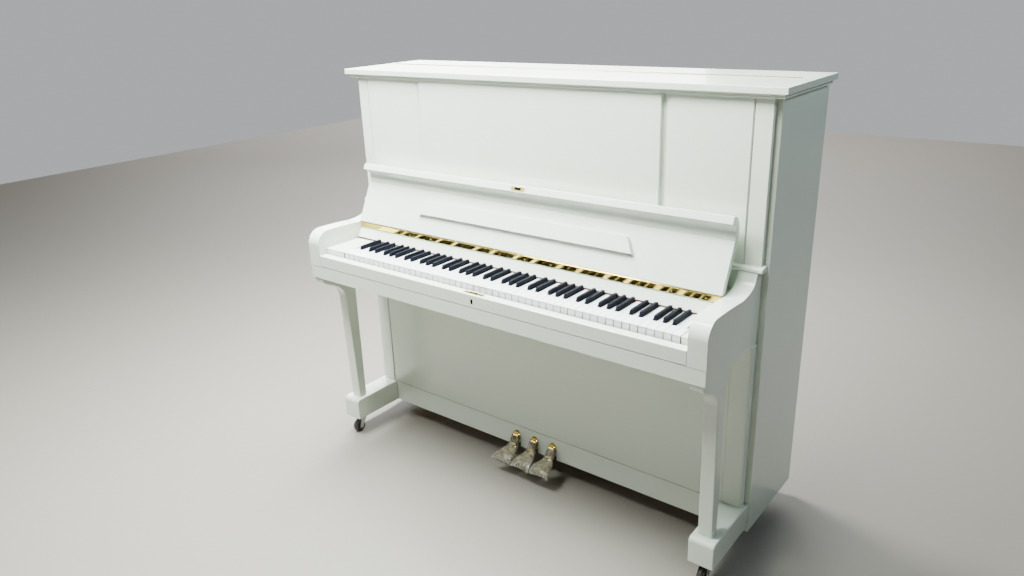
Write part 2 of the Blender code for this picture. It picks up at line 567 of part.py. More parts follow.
action = box("action", (-0.650, 0.0700, 0.9400), (0.650, 0.1000, 0.9700), WOOD)
for number, x in enumerate((-0.640, -0.220, 0.200, 0.640)):
    foot = box(f"action_bracket_{number}", (x - 0.006, 0.0550, 0.7650), (x + 0.006, 0.1150, 1.0100), IRON)
    boolean(action, foot, "UNION")
for number, (y, z, deep, high) in enumerate(((0.1020, 0.9920, 0.024, 0.026), (0.0750, 0.8300, 0.040, 0.030))):
    beam = box(f"action_beam_{number}", (-0.655, y - deep / 2, z - high / 2), (0.655, y + deep / 2, z + high / 2), WOOD)
    boolean(action, beam, "UNION")
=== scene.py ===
# %% [markdown]
# # A tall upright piano in off-white lacquer
#
# The frame below holds the piano's plain solids, with every joint in its place. This lesson gives each of
# them its real shape and finish: round lacquered edges, separate keys, a polished hinge, pedals still in
# their transit bags, and the plate, strings and hammers that show when the lid is lifted.

# %% Load the frame
import json
import math

import bmesh
import bpy
from mathutils import Matrix, Vector, noise


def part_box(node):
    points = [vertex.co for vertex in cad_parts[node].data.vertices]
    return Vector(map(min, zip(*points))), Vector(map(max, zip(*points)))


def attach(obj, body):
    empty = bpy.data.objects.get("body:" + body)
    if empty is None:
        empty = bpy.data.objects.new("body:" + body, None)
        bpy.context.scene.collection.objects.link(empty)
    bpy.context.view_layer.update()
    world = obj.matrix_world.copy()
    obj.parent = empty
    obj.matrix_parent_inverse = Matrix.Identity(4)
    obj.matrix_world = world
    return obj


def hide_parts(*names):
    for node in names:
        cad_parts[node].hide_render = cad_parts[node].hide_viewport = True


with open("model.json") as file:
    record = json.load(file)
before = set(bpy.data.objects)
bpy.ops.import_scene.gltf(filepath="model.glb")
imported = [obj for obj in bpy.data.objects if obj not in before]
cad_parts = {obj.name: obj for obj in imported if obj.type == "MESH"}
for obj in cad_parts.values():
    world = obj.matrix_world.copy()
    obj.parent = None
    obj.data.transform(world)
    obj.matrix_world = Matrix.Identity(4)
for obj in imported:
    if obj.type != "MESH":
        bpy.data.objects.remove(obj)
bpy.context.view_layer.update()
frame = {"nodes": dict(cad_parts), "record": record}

# %% [markdown]
# ## Small helpers
#
# Each shape starts in a bmesh as a cube, a circle or an outline, and operators do the rest. A lacquered edge
# is never sharp, so the helpers end in a bevel. With a weighted-normal modifier the broad faces stay flat
# in their reflections, and only the rounded edges turn the light.


# %% Blocks and bars
def corners(node):
    """The lowest and highest corner of a frame node."""
    low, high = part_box(node)
    return Vector(low), Vector(high)


def move(shape, offset):
    bmesh.ops.translate(shape, vec=offset, verts=shape.verts)
    return shape


def face_outward(shape):
    bmesh.ops.recalc_face_normals(shape, faces=shape.faces)


def round_edges(shape, edges, radius, segments=3):
    bmesh.ops.bevel(shape, geom=edges, offset=radius, segments=segments, profile=0.5, affect="EDGES",
                    clamp_overlap=True, material=-1)


def sharp_edges(shape, angle=30):
    return [edge for edge in shape.edges
            if len(edge.link_faces) == 2 and edge.calc_face_angle(0.0) > math.radians(angle)]


def block(low, high, radius=0.0015, segments=3):
    """A box between two corners with rounded edges."""
    low, high = Vector(low), Vector(high)
    shape = bmesh.new()
    bmesh.ops.create_cube(shape, size=1.0)
    bmesh.ops.scale(shape, vec=high - low, verts=shape.verts)
    move(shape, (low + high) / 2)
    if radius:
        round_edges(shape, shape.edges[:], radius, segments)
    return shape


def draw_out(shape, face):
    """Extrudes a face in place. Returns the new vertices and the new end face."""
    drawn = bmesh.ops.extrude_face_region(shape, geom=[face])["geom"]
    return ([item for item in drawn if isinstance(item, bmesh.types.BMVert)],
            next(item for item in drawn if isinstance(item, bmesh.types.BMFace)))


MERGE = 0.00001
ALONG = {"X": lambda a, b, depth: Vector((depth, a, b)),
         "Y": lambda a, b, depth: Vector((a, depth, b)),
         "Z": lambda a, b, depth: Vector((a, b, depth))}


def bar(points, axis, low, high, radius=0.0, segments=3, angle=30):
    """An outline drawn out along an axis, its sharp edges rounded."""
    shape = bmesh.new()
    at = ALONG[axis]
    rim = [shape.verts.new(at(a, b, low)) for a, b in points]
    moved, _ = draw_out(shape, shape.faces.new(rim))
    bmesh.ops.translate(shape, vec=at(0, 0, high - low), verts=moved)
    face_outward(shape)
    if radius:
        round_edges(shape, sharp_edges(shape, angle), radius, segments)
    return shape


print("blocks and bars ready")


# %% Round pieces and joined shapes
ORIGIN = (0.0, 0.0, 0.0)
TURN = {"X": Matrix.Rotation(math.radians(90), 3, "Y"), "Y": Matrix.Rotation(math.radians(-90), 3, "X"),
        "Z": Matrix.Identity(3)}


def stand(shape, centre, axis):
    """Turns a shape made about Z to lie about another axis, and moves it to its centre."""
    bmesh.ops.rotate(shape, cent=ORIGIN, matrix=TURN[axis], verts=shape.verts)
    return move(shape, centre)


def rod(centre, axis, radius, length, sides=24, tip=None, rounded=0.0):
    """A cylinder or a taper about an axis, its rims rounded."""
    shape = bmesh.new()
    bmesh.ops.create_cone(shape, cap_ends=True, segments=sides, radius1=radius,
                          radius2=radius if tip is None else tip, depth=length)
    if rounded:
        rims = [edge for edge in shape.edges if any(len(face.verts) > 4 for face in edge.link_faces)]
        round_edges(shape, rims, rounded, 2)
    return stand(shape, centre, axis)


def turned(profile, centre, axis, steps=48):
    """A profile of (radius, height) points spun a full turn about an axis."""
    shape = bmesh.new()
    verts = [shape.verts.new((radius, 0.0, height)) for radius, height in profile]
    edges = [shape.edges.new(pair) for pair in zip(verts, verts[1:])]
    bmesh.ops.spin(shape, geom=verts + edges, cent=ORIGIN, axis=(0, 0, 1), dvec=ORIGIN,
                   angle=2 * math.pi, steps=steps, use_merge=True)
    bmesh.ops.remove_doubles(shape, verts=shape.verts, dist=MERGE)
    face_outward(shape)
    return stand(shape, centre, axis)


def together(shapes):
    """Several shapes in one bmesh, as a glued or screwed group."""
    whole = bmesh.new()
    for shape in shapes:
        mesh = bpy.data.meshes.new("shape")
        shape.to_mesh(mesh)
        shape.free()
        whole.from_mesh(mesh)
        bpy.data.meshes.remove(mesh)
    return whole


def in_second_finish(shape):
    for face in shape.faces:
        face.material_index = 1
    return shape


def turn_about(shape, axis, degrees):
    """Turns a shape about an axis through the origin."""
    turn = Matrix.Rotation(math.radians(degrees), 3, axis)
    bmesh.ops.rotate(shape, cent=ORIGIN, matrix=turn, verts=shape.verts)
    return shape


print("rods, spins and groups ready")


# %% Curves for outlines
def arc(centre, radius, start, end, steps):
    """Points on a circle between two angles in degrees."""
    angles = [math.radians(start + (end - start) * i / steps) for i in range(steps + 1)]
    return [(centre[0] + radius * math.cos(a), centre[1] + radius * math.sin(a)) for a in angles]


def smooth(points, steps=6):
    """A Catmull-Rom curve through points of two or more values."""
    ends = [points[0]] + list(points) + [points[-1]]
    curve = []
    for i in range(1, len(ends) - 2):
        for t in (k / steps for k in range(steps)):
            curve.append(tuple(0.5 * (2 * b + (c - a) * t + (2 * a - 5 * b + 4 * c - d) * t ** 2
                                      + (3 * b - a - 3 * c + d) * t ** 3)
                               for a, b, c, d in zip(*ends[i - 1:i + 3])))
    return curve + [tuple(points[-1])]


print("arc of a quarter circle:", len(arc((0, 0), 1.0, 0, 90, 6)), "points")

# %% [markdown]
# ## Finishes
#
# A finish that several pieces share is a shader node group: it takes a place and a few values and gives
# back a colour, a roughness and a height. The Principled shader itself stays in each material. Polyester
# lacquer on a piano is polished flat but still shows a little orange peel, handling marks and dust.


# %% A group for each kind of surface
def open_group(name, inputs, outputs):
    """A shader node group with named sockets."""
    group = bpy.data.node_groups.new(name, "ShaderNodeTree")
    for label, kind, value in inputs:
        socket = group.interface.new_socket(name=label, in_out="INPUT", socket_type=kind)
        if value is not None:
            socket.default_value = value
    for label, kind in outputs:
        group.interface.new_socket(name=label, in_out="OUTPUT", socket_type=kind)
    return group, group.nodes.new("NodeGroupInput"), group.nodes.new("NodeGroupOutput")


FLOAT, COLOUR, PLACE = "NodeSocketFloat", "NodeSocketColor", "NodeSocketVector"
SURFACE = [("Colour", COLOUR), ("Roughness", FLOAT), ("Height", FLOAT)]


def add_noise(tree, place, scale, detail=2.0, roughness=0.5, stretch=None):
    """A noise texture at a place, stretched where asked. Returns its value socket."""
    links = tree.links
    if stretch:
        pull = tree.nodes.new("ShaderNodeMapping")
        pull.inputs["Scale"].default_value = stretch
        links.new(place, pull.inputs["Vector"])
        place = pull.outputs["Vector"]
    texture = tree.nodes.new("ShaderNodeTexNoise")
    texture.inputs["Detail"].default_value = detail
    texture.inputs["Roughness"].default_value = roughness
    links.new(place, texture.inputs["Vector"])
    if isinstance(scale, (int, float)):
        texture.inputs["Scale"].default_value = scale
    else:
        links.new(scale, texture.inputs["Scale"])
    return texture.outputs["Fac"]


def add_math(tree, operation, first, second, clamp=False):
    node = tree.nodes.new("ShaderNodeMath")
    node.operation, node.use_clamp = operation, clamp
    for socket, value in zip(node.inputs, (first, second)):
        if isinstance(value, (int, float)):
            socket.default_value = value
        else:
            tree.links.new(value, socket)
    return node.outputs["Value"]


def times(tree, first, second):
    return add_math(tree, "MULTIPLY", first, second)


def plus(tree, first, second, clamp=False):
    return add_math(tree, "ADD", first, second, clamp)


def add_ramp(tree, value, low, high):
    """A value spread so that low becomes 0 and high becomes 1."""
    node = tree.nodes.new("ShaderNodeMapRange")
    node.inputs["From Min"].default_value, node.inputs["From Max"].default_value = low, high
    tree.links.new(value, node.inputs["Value"])
    return node.outputs["Result"]


def add_mix(tree, factor, first, second):
    """Two colours mixed by a factor."""
    node = tree.nodes.new("ShaderNodeMix")
    node.data_type = "RGBA"
    for socket, value in ((node.inputs[0], factor), (node.inputs[6], first), (node.inputs[7], second)):
        if isinstance(value, (int, float)):
            socket.default_value = value
        elif isinstance(value, tuple):
            socket.default_value = (*value, 1.0)
        else:
            tree.links.new(value, socket)
    return node.outputs[2]


def close_group(group, result, colour, rough, height):
    """Gives a surface group its colour, its roughness and its height."""
    for (label, _), value in zip(SURFACE, (colour, rough, height)):
        group.links.new(value, result.inputs[label])
    return group


print("node helpers ready")


# %% Lacquer, with peel, handling marks and dust
def lacquer_group():
    group, given, result = open_group("Lacquered surface", [
        ("Place", PLACE, None), ("Colour", COLOUR, None), ("Aged colour", COLOUR, None),
        ("Peel scale", FLOAT, 260.0), ("Roughness", FLOAT, 0.2), ("Dust", FLOAT, 0.1)], SURFACE)
    place = given.outputs["Place"]
    clouds = add_ramp(group, add_noise(group, place, 2.3, 3.0), 0.35, 0.70)
    streaks = add_ramp(group, add_noise(group, place, 6.0, 1.5, 0.4, (1.0, 1.0, 0.2)), 0.35, 0.80)
    specks = add_ramp(group, add_noise(group, place, 900.0, 0.0), 0.70, 0.78)
    aged = times(group, plus(group, clouds, streaks), 0.5)
    colour = add_mix(group, aged, given.outputs["Colour"], given.outputs["Aged colour"])
    specks = times(group, specks, given.outputs["Dust"])
    colour = add_mix(group, specks, colour, (0.42, 0.40, 0.36))
    smear = add_ramp(group, add_noise(group, place, 7.0, 2.0, 0.5), 0.3, 0.8)
    rough = plus(group, given.outputs["Roughness"], times(group, smear, 0.06))
    rough = plus(group, rough, times(group, specks, 0.5), clamp=True)
    peel = add_noise(group, place, given.outputs["Peel scale"], 1.0)
    wave = times(group, add_noise(group, place, 16.0, 1.0), 3.0)
    return close_group(group, result, colour, rough, plus(group, peel, wave))


LACQUER_GROUP = lacquer_group()
print(LACQUER_GROUP.name, "has", len(LACQUER_GROUP.nodes), "nodes")


# %% Metal, with fine scratches and tarnish
def metal_group():
    group, given, result = open_group("Polished or drawn metal", [
        ("Place", PLACE, None), ("Colour", COLOUR, None), ("Tarnish colour", COLOUR, None),
        ("Tarnish", FLOAT, 0.3), ("Roughness", FLOAT, 0.2), ("Scratch scale", FLOAT, 300.0)], SURFACE)
    place = given.outputs["Place"]
    patches = add_ramp(group, add_noise(group, place, 38.0, 5.0, 0.62), 0.45, 0.72)
    patches = times(group, patches, given.outputs["Tarnish"])
    colour = add_mix(group, patches, given.outputs["Colour"], given.outputs["Tarnish colour"])
    scratch = add_noise(group, place, given.outputs["Scratch scale"], 2.0, 0.5, (0.04, 1.0, 1.0))
    rough = plus(group, given.outputs["Roughness"], times(group, patches, 0.25))
    rough = plus(group, rough, times(group, scratch, 0.06), clamp=True)
    return close_group(group, result, colour, rough, scratch)


METAL_GROUP = metal_group()
print(METAL_GROUP.name, "has", len(METAL_GROUP.nodes), "nodes")


# %% Timber, with rings and pores along the board
def timber_group():
    group, given, result = open_group("Timber grain", [
        ("Place", PLACE, None), ("Early wood", COLOUR, None), ("Late wood", COLOUR, None),
        ("Ring scale", FLOAT, 60.0), ("Roughness", FLOAT, 0.5)], SURFACE)
    place = given.outputs["Place"]
    drift = add_noise(group, place, 3.0, 2.0, 0.5, (0.35, 1.0, 1.0))
    lean = group.nodes.new("ShaderNodeVectorMath")
    lean.operation = "MULTIPLY_ADD"
    lean.inputs[1].default_value = (0.06, 0.06, 0.06)
    group.links.new(drift, lean.inputs[0])
    group.links.new(place, lean.inputs[2])
    rings = add_noise(group, lean.outputs["Vector"], given.outputs["Ring scale"], 1.5, 0.45,
                      (0.015, 1.0, 1.0))
    bands = add_ramp(group, rings, 0.38, 0.66)
    pores = add_ramp(group, add_noise(group, place, 900.0, 1.0, 0.5, (0.03, 1.0, 1.0)), 0.60, 0.75)
    late = add_math(group, "MAXIMUM", bands, times(group, pores, 0.8))
    colour = add_mix(group, late, given.outputs["Early wood"], given.outputs["Late wood"])
    shade = add_ramp(group, add_noise(group, place, 1.8, 2.0), 0.2, 0.9)
    colour = add_mix(group, times(group, shade, 0.25), colour, given.outputs["Late wood"])
    rough = plus(group, given.outputs["Roughness"], times(group, pores, 0.15))
    height = add_math(group, "SUBTRACT", times(group, bands, 0.4), pores)
    return close_group(group, result, colour, rough, height)


TIMBER_GROUP = timber_group()
print(TIMBER_GROUP.name, "has", len(TIMBER_GROUP.nodes), "nodes")


# %% Felt, with a matted nap
def felt_group():
    group, given, result = open_group("Pressed felt", [
        ("Place", PLACE, None), ("Colour", COLOUR, None), ("Lint colour", COLOUR, None),
        ("Fibre scale", FLOAT, 900.0), ("Roughness", FLOAT, 0.9)], SURFACE)
    place = given.outputs["Place"]
    fibres = add_noise(group, place, given.outputs["Fibre scale"], 5.0, 0.7, (0.5, 1.0, 1.0))
    lint = add_ramp(group, add_noise(group, place, 420.0, 4.0, 0.7, (1.0, 0.3, 1.0)), 0.55, 0.80)
    colour = add_mix(group, times(group, lint, 0.6), given.outputs["Colour"],
                     given.outputs["Lint colour"])
    return close_group(group, result, colour, given.outputs["Roughness"], fibres)


FELT_GROUP = felt_group()
print(FELT_GROUP.name, "has", len(FELT_GROUP.nodes), "nodes")

# %% [markdown]
# ## The materials
#
# One function builds a material around a surface group, so that each finish below is a short list of the
# values that make it what it is. Values that are the same all over, such as coat or sheen, go straight on the
# shader's own sockets. A Mapping node turns the timber's grain along the piece.


def finish(name, group, values, bump, shader_values=None, grain_turn=ORIGIN):
    """A material with a surface group, a bump and a Principled shader."""
    made = bpy.data.materials.new(name)
    made.use_nodes = True
    tree = made.node_tree
    shader = tree.nodes["Principled BSDF"]
    where = tree.nodes.new("ShaderNodeTexCoord")
    turn = tree.nodes.new("ShaderNodeMapping")
    turn.inputs["Rotation"].default_value = [math.radians(a) for a in grain_turn]
    surface = tree.nodes.new("ShaderNodeGroup")
    surface.node_tree = group
    tree.links.new(where.outputs["Object"], turn.inputs["Vector"])
    tree.links.new(turn.outputs["Vector"], surface.inputs["Place"])
    for label, value in values.items():
        surface.inputs[label].default_value = (*value, 1.0) if isinstance(value, tuple) else value
    relief = tree.nodes.new("ShaderNodeBump")
    relief.inputs["Strength"].default_value = 1.0
    relief.inputs["Distance"].default_value = bump
    tree.links.new(surface.outputs["Height"], relief.inputs["Height"])
    tree.links.new(relief.outputs["Normal"], shader.inputs["Normal"])
    tree.links.new(surface.outputs["Colour"], shader.inputs["Base Color"])
    tree.links.new(surface.outputs["Roughness"], shader.inputs["Roughness"])
    for label, value in (shader_values or {}).items():
        shader.inputs[label].default_value = value
    return made


LACQUER = finish("off_white_lacquer", LACQUER_GROUP, {
    "Colour": (0.700, 0.775, 0.685), "Aged colour": (0.690, 0.750, 0.650), "Peel scale": 300.0,
    "Roughness": 0.20, "Dust": 0.06}, 0.000012, {"Coat Weight": 0.35, "Coat Roughness": 0.06})
KEY_WHITE = finish("white_key_acrylic", LACQUER_GROUP, {
    "Colour": (0.82, 0.88, 0.93), "Aged colour": (0.80, 0.86, 0.90), "Peel scale": 500.0,
    "Roughness": 0.12, "Dust": 0.05}, 0.000004, {"Coat Weight": 0.3, "Coat Roughness": 0.05})
KEY_BLACK = finish("black_key_phenolic", LACQUER_GROUP, {
    "Colour": (0.004, 0.005, 0.010), "Aged colour": (0.007, 0.008, 0.014), "Peel scale": 700.0,
    "Roughness": 0.50, "Dust": 0.10}, 0.000008, {"Specular IOR Level": 0.04})
print("lacquer and key finishes:", LACQUER.name, KEY_WHITE.name, KEY_BLACK.name)

# %% Metals, rubber, paint and painted hole shade
BRASS = finish("polished_brass", METAL_GROUP, {
    "Colour": (0.78, 0.56, 0.13), "Tarnish colour": (0.42, 0.27, 0.07), "Tarnish": 0.25,
    "Roughness": 0.06, "Scratch scale": 500.0}, 0.000003, {"Metallic": 1.0})
# Painted shade with some tarnish: this brass is made very dark so that the hinge in the lid's split reads as
# the seam's shadowed line.
SEAM_SHADE_BRASS = finish("brass_darkened_as_seam_shade", METAL_GROUP, {
    "Colour": (0.20, 0.15, 0.07), "Tarnish colour": (0.07, 0.05, 0.03), "Tarnish": 0.7,
    "Roughness": 0.34, "Scratch scale": 400.0}, 0.000006, {"Metallic": 1.0})
NICKEL = finish("nickelled_steel", METAL_GROUP, {
    "Colour": (0.60, 0.59, 0.56), "Tarnish colour": (0.25, 0.22, 0.18), "Tarnish": 0.5,
    "Roughness": 0.26, "Scratch scale": 250.0}, 0.000010, {"Metallic": 1.0})
WIRE = finish("drawn_string_wire", METAL_GROUP, {
    "Colour": (0.66, 0.65, 0.62), "Tarnish colour": (0.35, 0.30, 0.24), "Tarnish": 0.3,
    "Roughness": 0.22, "Scratch scale": 200.0}, 0.000005, {"Metallic": 1.0})
PLATE_PAINT = finish("bronze_plate_paint", METAL_GROUP, {
    "Colour": (0.52, 0.37, 0.14), "Tarnish colour": (0.36, 0.25, 0.10), "Tarnish": 0.6,
    "Roughness": 0.36, "Scratch scale": 90.0}, 0.000060, {"Metallic": 0.7})
WHEEL_BLACK = finish("black_caster_rubber", LACQUER_GROUP, {
    "Colour": (0.018, 0.018, 0.020), "Aged colour": (0.055, 0.050, 0.046), "Peel scale": 420.0,
    "Roughness": 0.42, "Dust": 0.6}, 0.000050)
# Painted shade: a near-black finish for inserts that stand where the keyhole and the lock slots show only
# shade.
HOLE_SHADE = finish("painted_hole_shade", LACQUER_GROUP, {
    "Colour": (0.003, 0.003, 0.003), "Aged colour": (0.006, 0.005, 0.005), "Peel scale": 300.0,
    "Roughness": 0.7, "Dust": 0.0}, 0.000020, {"Specular IOR Level": 0.03})
print("metals and paints ready")

# %% Timbers, felts and a painted gap shade
SPRUCE = finish("soundboard_spruce", TIMBER_GROUP, {
    "Early wood": (0.70, 0.48, 0.24), "Late wood": (0.46, 0.26, 0.11), "Ring scale": 260.0,
    "Roughness": 0.34}, 0.000020, {"Coat Weight": 0.25, "Coat Roughness": 0.15}, (0.0, 35.0, 0.0))
POST_WOOD = finish("back_post_timber", TIMBER_GROUP, {
    "Early wood": (0.56, 0.38, 0.21), "Late wood": (0.36, 0.22, 0.11), "Ring scale": 120.0,
    "Roughness": 0.58}, 0.000060, None, (0.0, 90.0, 0.0))
RAIL_WOOD = finish("bare_maple", TIMBER_GROUP, {
    "Early wood": (0.64, 0.47, 0.29), "Late wood": (0.48, 0.32, 0.18), "Ring scale": 140.0,
    "Roughness": 0.5}, 0.000030)
STICK_WOOD = finish("key_stick_spruce", TIMBER_GROUP, {
    "Early wood": (0.72, 0.55, 0.33), "Late wood": (0.55, 0.37, 0.20), "Ring scale": 220.0,
    "Roughness": 0.55}, 0.000030, None, (0.0, 0.0, 90.0))
NAME_FELT = finish("dark_red_felt", FELT_GROUP, {
    "Colour": (0.085, 0.008, 0.012), "Lint colour": (0.14, 0.035, 0.035), "Fibre scale": 1100.0,
    "Roughness": 0.95}, 0.00020, {"Sheen Weight": 0.4, "Sheen Roughness": 0.5})
HAMMER_FELT = finish("white_hammer_felt", FELT_GROUP, {
    "Colour": (0.76, 0.73, 0.66), "Lint colour": (0.84, 0.82, 0.78), "Fibre scale": 800.0,
    "Roughness": 0.95}, 0.00015, {"Sheen Weight": 0.3, "Sheen Roughness": 0.5})
# Painted shade: a near-black, felt-textured finish for strips that stand for the shadowed gaps beside the key
# blocks.
GAP_SHADE = finish("painted_gap_shade", FELT_GROUP, {
    "Colour": (0.006, 0.006, 0.007), "Lint colour": (0.02, 0.02, 0.02), "Fibre scale": 1000.0,
    "Roughness": 0.95}, 0.00010)
print("timbers and felts ready")

# %% [markdown]
# ## Putting a shape on the piano
#
# Every piece rides on one body of the frame and says which plain solids it stands for.


# %% Hang a shape on its body
def new_object(name, data):
    made = bpy.data.objects.new(name, data)
    bpy.context.scene.collection.objects.link(made)
    return made


def refinish(node, made):
    """Gives a frame solid that stays in view one finish."""
    materials = frame["nodes"][node].data.materials
    materials.clear()
    materials.append(made)


def hang(name, shape, finishes, body="case", instead_of=(), smooth_angle=38):
    """Makes a piece of a shape: its object stays at the origin and its place is in its mesh."""
    finishes = finishes if isinstance(finishes, (list, tuple)) else [finishes]
    mesh = bpy.data.meshes.new(name)
    shape.to_mesh(mesh)
    shape.free()
    for made in finishes:
        mesh.materials.append(made)
    mesh.shade_smooth()
    mesh.set_sharp_from_angle(angle=math.radians(smooth_angle))
    piece = new_object(name, mesh)
    flatten = piece.modifiers.new("Flat faces stay flat", "WEIGHTED_NORMAL")
    flatten.keep_sharp, flatten.weight = True, 80
    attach(piece, body)
    if instead_of:
        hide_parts(*instead_of)
    return piece


SIDES = (("left", -1), ("right", 1))

# %% [markdown]
# ## Case sides and lid
#
# The sides are plain boards with eased edges. The lid is two leaves: a slab with a smaller moulding glued
# under its outer edges, which leaves a shadow line all round. The moulding is drawn out of the slab's
# lower face, so the step between them is one clean corner. A long brass hinge joins the leaves; its brass is
# made very dark, as painted shade for the seam between them.

# %% Side boards
for word, _ in SIDES:
    low, high = corners(f"side_board_{word}")
    hang(f"side_{word}", block(low, high, 0.0016), LACQUER, instead_of=[f"side_board_{word}"])
    print(f"side_{word}:", [round(v, 4) for v in high - low])

# %% Lid leaves
SLAB, STEP_IN = 0.0165, 0.0070
REVEAL_UP, REVEAL_IN = 0.0022, 0.0028


def lid_leaf(low, high, open_side):
    """A slab whose lower face steps in on three sides and drops to the moulding."""
    shape = block((low.x, low.y, high.z - SLAB), high, 0.0)
    under = min(shape.faces, key=lambda face: face.calc_center_median().z)
    middle = (low.y + high.y) / 2
    rest_down = high.z - SLAB - low.z - REVEAL_UP
    for inset, drop in ((STEP_IN, 0.0), (0.0, REVEAL_UP), (REVEAL_IN, 0.0), (0.0, rest_down)):
        moved, end = draw_out(shape, under)
        bmesh.ops.delete(shape, geom=[under], context="FACES_ONLY")
        under = end
        for vert in moved:
            vert.co.x -= math.copysign(inset, vert.co.x)
            if (vert.co.y - middle) * open_side < 0:
                vert.co.y += open_side * inset
            vert.co.z -= drop
    bmesh.ops.remove_doubles(shape, verts=shape.verts, dist=MERGE)
    face_outward(shape)
    round_edges(shape, sharp_edges(shape), 0.0014)
    return shape


low, high = corners("lid_front")
SPLIT = high.y + 0.0008
LID_TOP = high.z
hang("front_lid_leaf", lid_leaf(low, high, 1), LACQUER, "front_lid", ["lid_front"])
low, high = corners("lid_rear")
hang("rear_lid_leaf", lid_leaf(low, high, -1), LACQUER, instead_of=["lid_rear"])
print("lid leaves meet at y =", round(SPLIT, 4))

# %% Long hinge between the lid leaves
KNUCKLE, HINGE_RUN, KNUCKLE_GAP = 0.0019, 0.028, 0.0012
hinge_half = high.x - 0.040
knuckles = []
count = int(2 * hinge_half / HINGE_RUN)
for number in range(count):
    x = -hinge_half + (number + 0.5) * 2 * hinge_half / count
    knuckles.append(rod((x, SPLIT, LID_TOP + 0.0002), "X", KNUCKLE, 2 * hinge_half / count - KNUCKLE_GAP, 10))
# The knuckles take the darkened brass, painted shade of the seam between the leaves.
hang("lid_hinge", together(knuckles), SEAM_SHADE_BRASS)
print("lid hinge has", count, "knuckles")

# %% [markdown]
# ## Upper front
#
# Three fields make the upper panel: a proud centre and two flat wings, with a long bevel that falls away to
# the centre's edge. A stile stands at each end, and one small moulding with a rounded nose runs under the
# stiles and, behind the fallboard, under the panel.


# %% Upper panel and its ledge
def nosing(front, floor, top, wall, back):
    """The side view of the moulding: a rounded nose with a small hollow up to the wall above it."""
    nose = arc((front + 0.0040, floor + 0.0040), 0.0040, 270, 180, 5)
    nose += arc((front + 0.0040, top - 0.0045), 0.0040, 180, 90, 5)
    hollow = [(wall - 0.0030, top - 0.0002), (wall - 0.0004, top + 0.0012), (back, top + 0.0012)]
    return [(back, floor)] + nose + hollow


low, high = corners("upper_panel")
LEDGE_OUT, LEDGE_LOW = 0.0175, corners("stile_left")[0].z
LEDGE_TOP, STILE_FACE = LEDGE_LOW + 0.0129, corners("stile_left")[0].y + LEDGE_OUT
CENTRE_HALF, BEVEL_OUT, CHAMFER = 0.4340, 0.4620, 0.0026
FACE, WING, GROOVE, PANEL_HALF = -0.0355, -0.0315, -0.0215, 0.6806
half = [(CENTRE_HALF, FACE), (CENTRE_HALF, GROOVE), (CENTRE_HALF + 0.003, GROOVE), (BEVEL_OUT, WING),
        (PANEL_HALF - CHAMFER, WING), (PANEL_HALF, WING + CHAMFER), (PANEL_HALF, high.y)]
panel = bar([(-x, y) for x, y in half] + [(x, y) for x, y in reversed(half)], "Z", LEDGE_TOP + 0.0006, high.z,
            0.0010, 2, 25)
ledge = bar(nosing(STILE_FACE - LEDGE_OUT, LEDGE_LOW, LEDGE_TOP, WING, high.y), "X", -PANEL_HALF, PANEL_HALF)
foot = block((-0.6716, STILE_FACE - 0.0135, low.z), (0.6716, high.y, LEDGE_LOW + 0.001), 0.001, 2)
hang("upper_front_panel", together([panel, ledge, foot]), LACQUER, instead_of=["upper_panel"])
print("centre field is", round(2 * CENTRE_HALF, 3), "wide")

# %% Stiles on their base mouldings
PANEL_GAP, BASE_OUT = {"left": 0.0030, "right": 0.0001}, 0.0095
for word, side in SIDES:
    low, high = corners(f"stile_{word}")
    outer = max(abs(low.x), abs(high.x))
    shaft_in = PANEL_HALF + PANEL_GAP[word]
    shaft = [(shaft_in, high.y), (shaft_in, STILE_FACE + CHAMFER), (shaft_in + CHAMFER, STILE_FACE),
             (outer, STILE_FACE), (outer, high.y)]
    shaft = bar([(side * x, y) for x, y in shaft], "Z", LEDGE_TOP - 0.002, high.z, 0.0008, 3, 25)
    reach = sorted((side * shaft_in, side * (outer + BASE_OUT)))
    base = bar(nosing(low.y, low.z, LEDGE_TOP, STILE_FACE, high.y), "X", reach[0], reach[1], 0.0008, 2, 40)
    hang(f"front_stile_{word}", together([shaft, base]), LACQUER, instead_of=[f"stile_{word}"])
    print(f"stile {word}: face at y =", round(STILE_FACE, 4))

# %% [markdown]
# ## Arms, key bed and slip
#
# An arm is sawn from thick board: a round shoulder in front, a long, slightly hollow top, and a sweep that
# climbs to the stile. It is one outline drawn across the arm's thickness and eased all round. The key slip
# runs between the arms, with a keyhole and a brass plate where the fallboard's lock drops in.


# %% Arms
SHOULDER = 0.048
SWEEP = [(0.0955, 0.0418), (0.1500, 0.0440), (0.1975, 0.0462), (0.2380, 0.0394), (0.2625, 0.0265),
         (0.2730, 0.0090), (0.2760, 0.0)]


def arm_outline(low, high):
    """The side view of an arm inside its box."""
    front, floor, back, head = low.y, low.z, high.y, high.z
    shoulder = arc((front + SHOULDER, head - 0.0890), SHOULDER, 180, 92, 12)
    sweep = smooth([shoulder[-1]] + [(front + along, head - down) for along, down in SWEEP])
    return [(front, floor)] + shoulder[:-1] + sweep + [(back, head), (back, floor)]


for word, _ in SIDES:
    low, high = corners(f"arm_{word}")
    arm = bar(arm_outline(low, high), "X", low.x, high.x, 0.0028, 4, 40)
    hang(f"key_arm_{word}", arm, LACQUER, instead_of=[f"arm_{word}"])
    print(f"arm {word}:", round(high.x - low.x, 4), "thick")

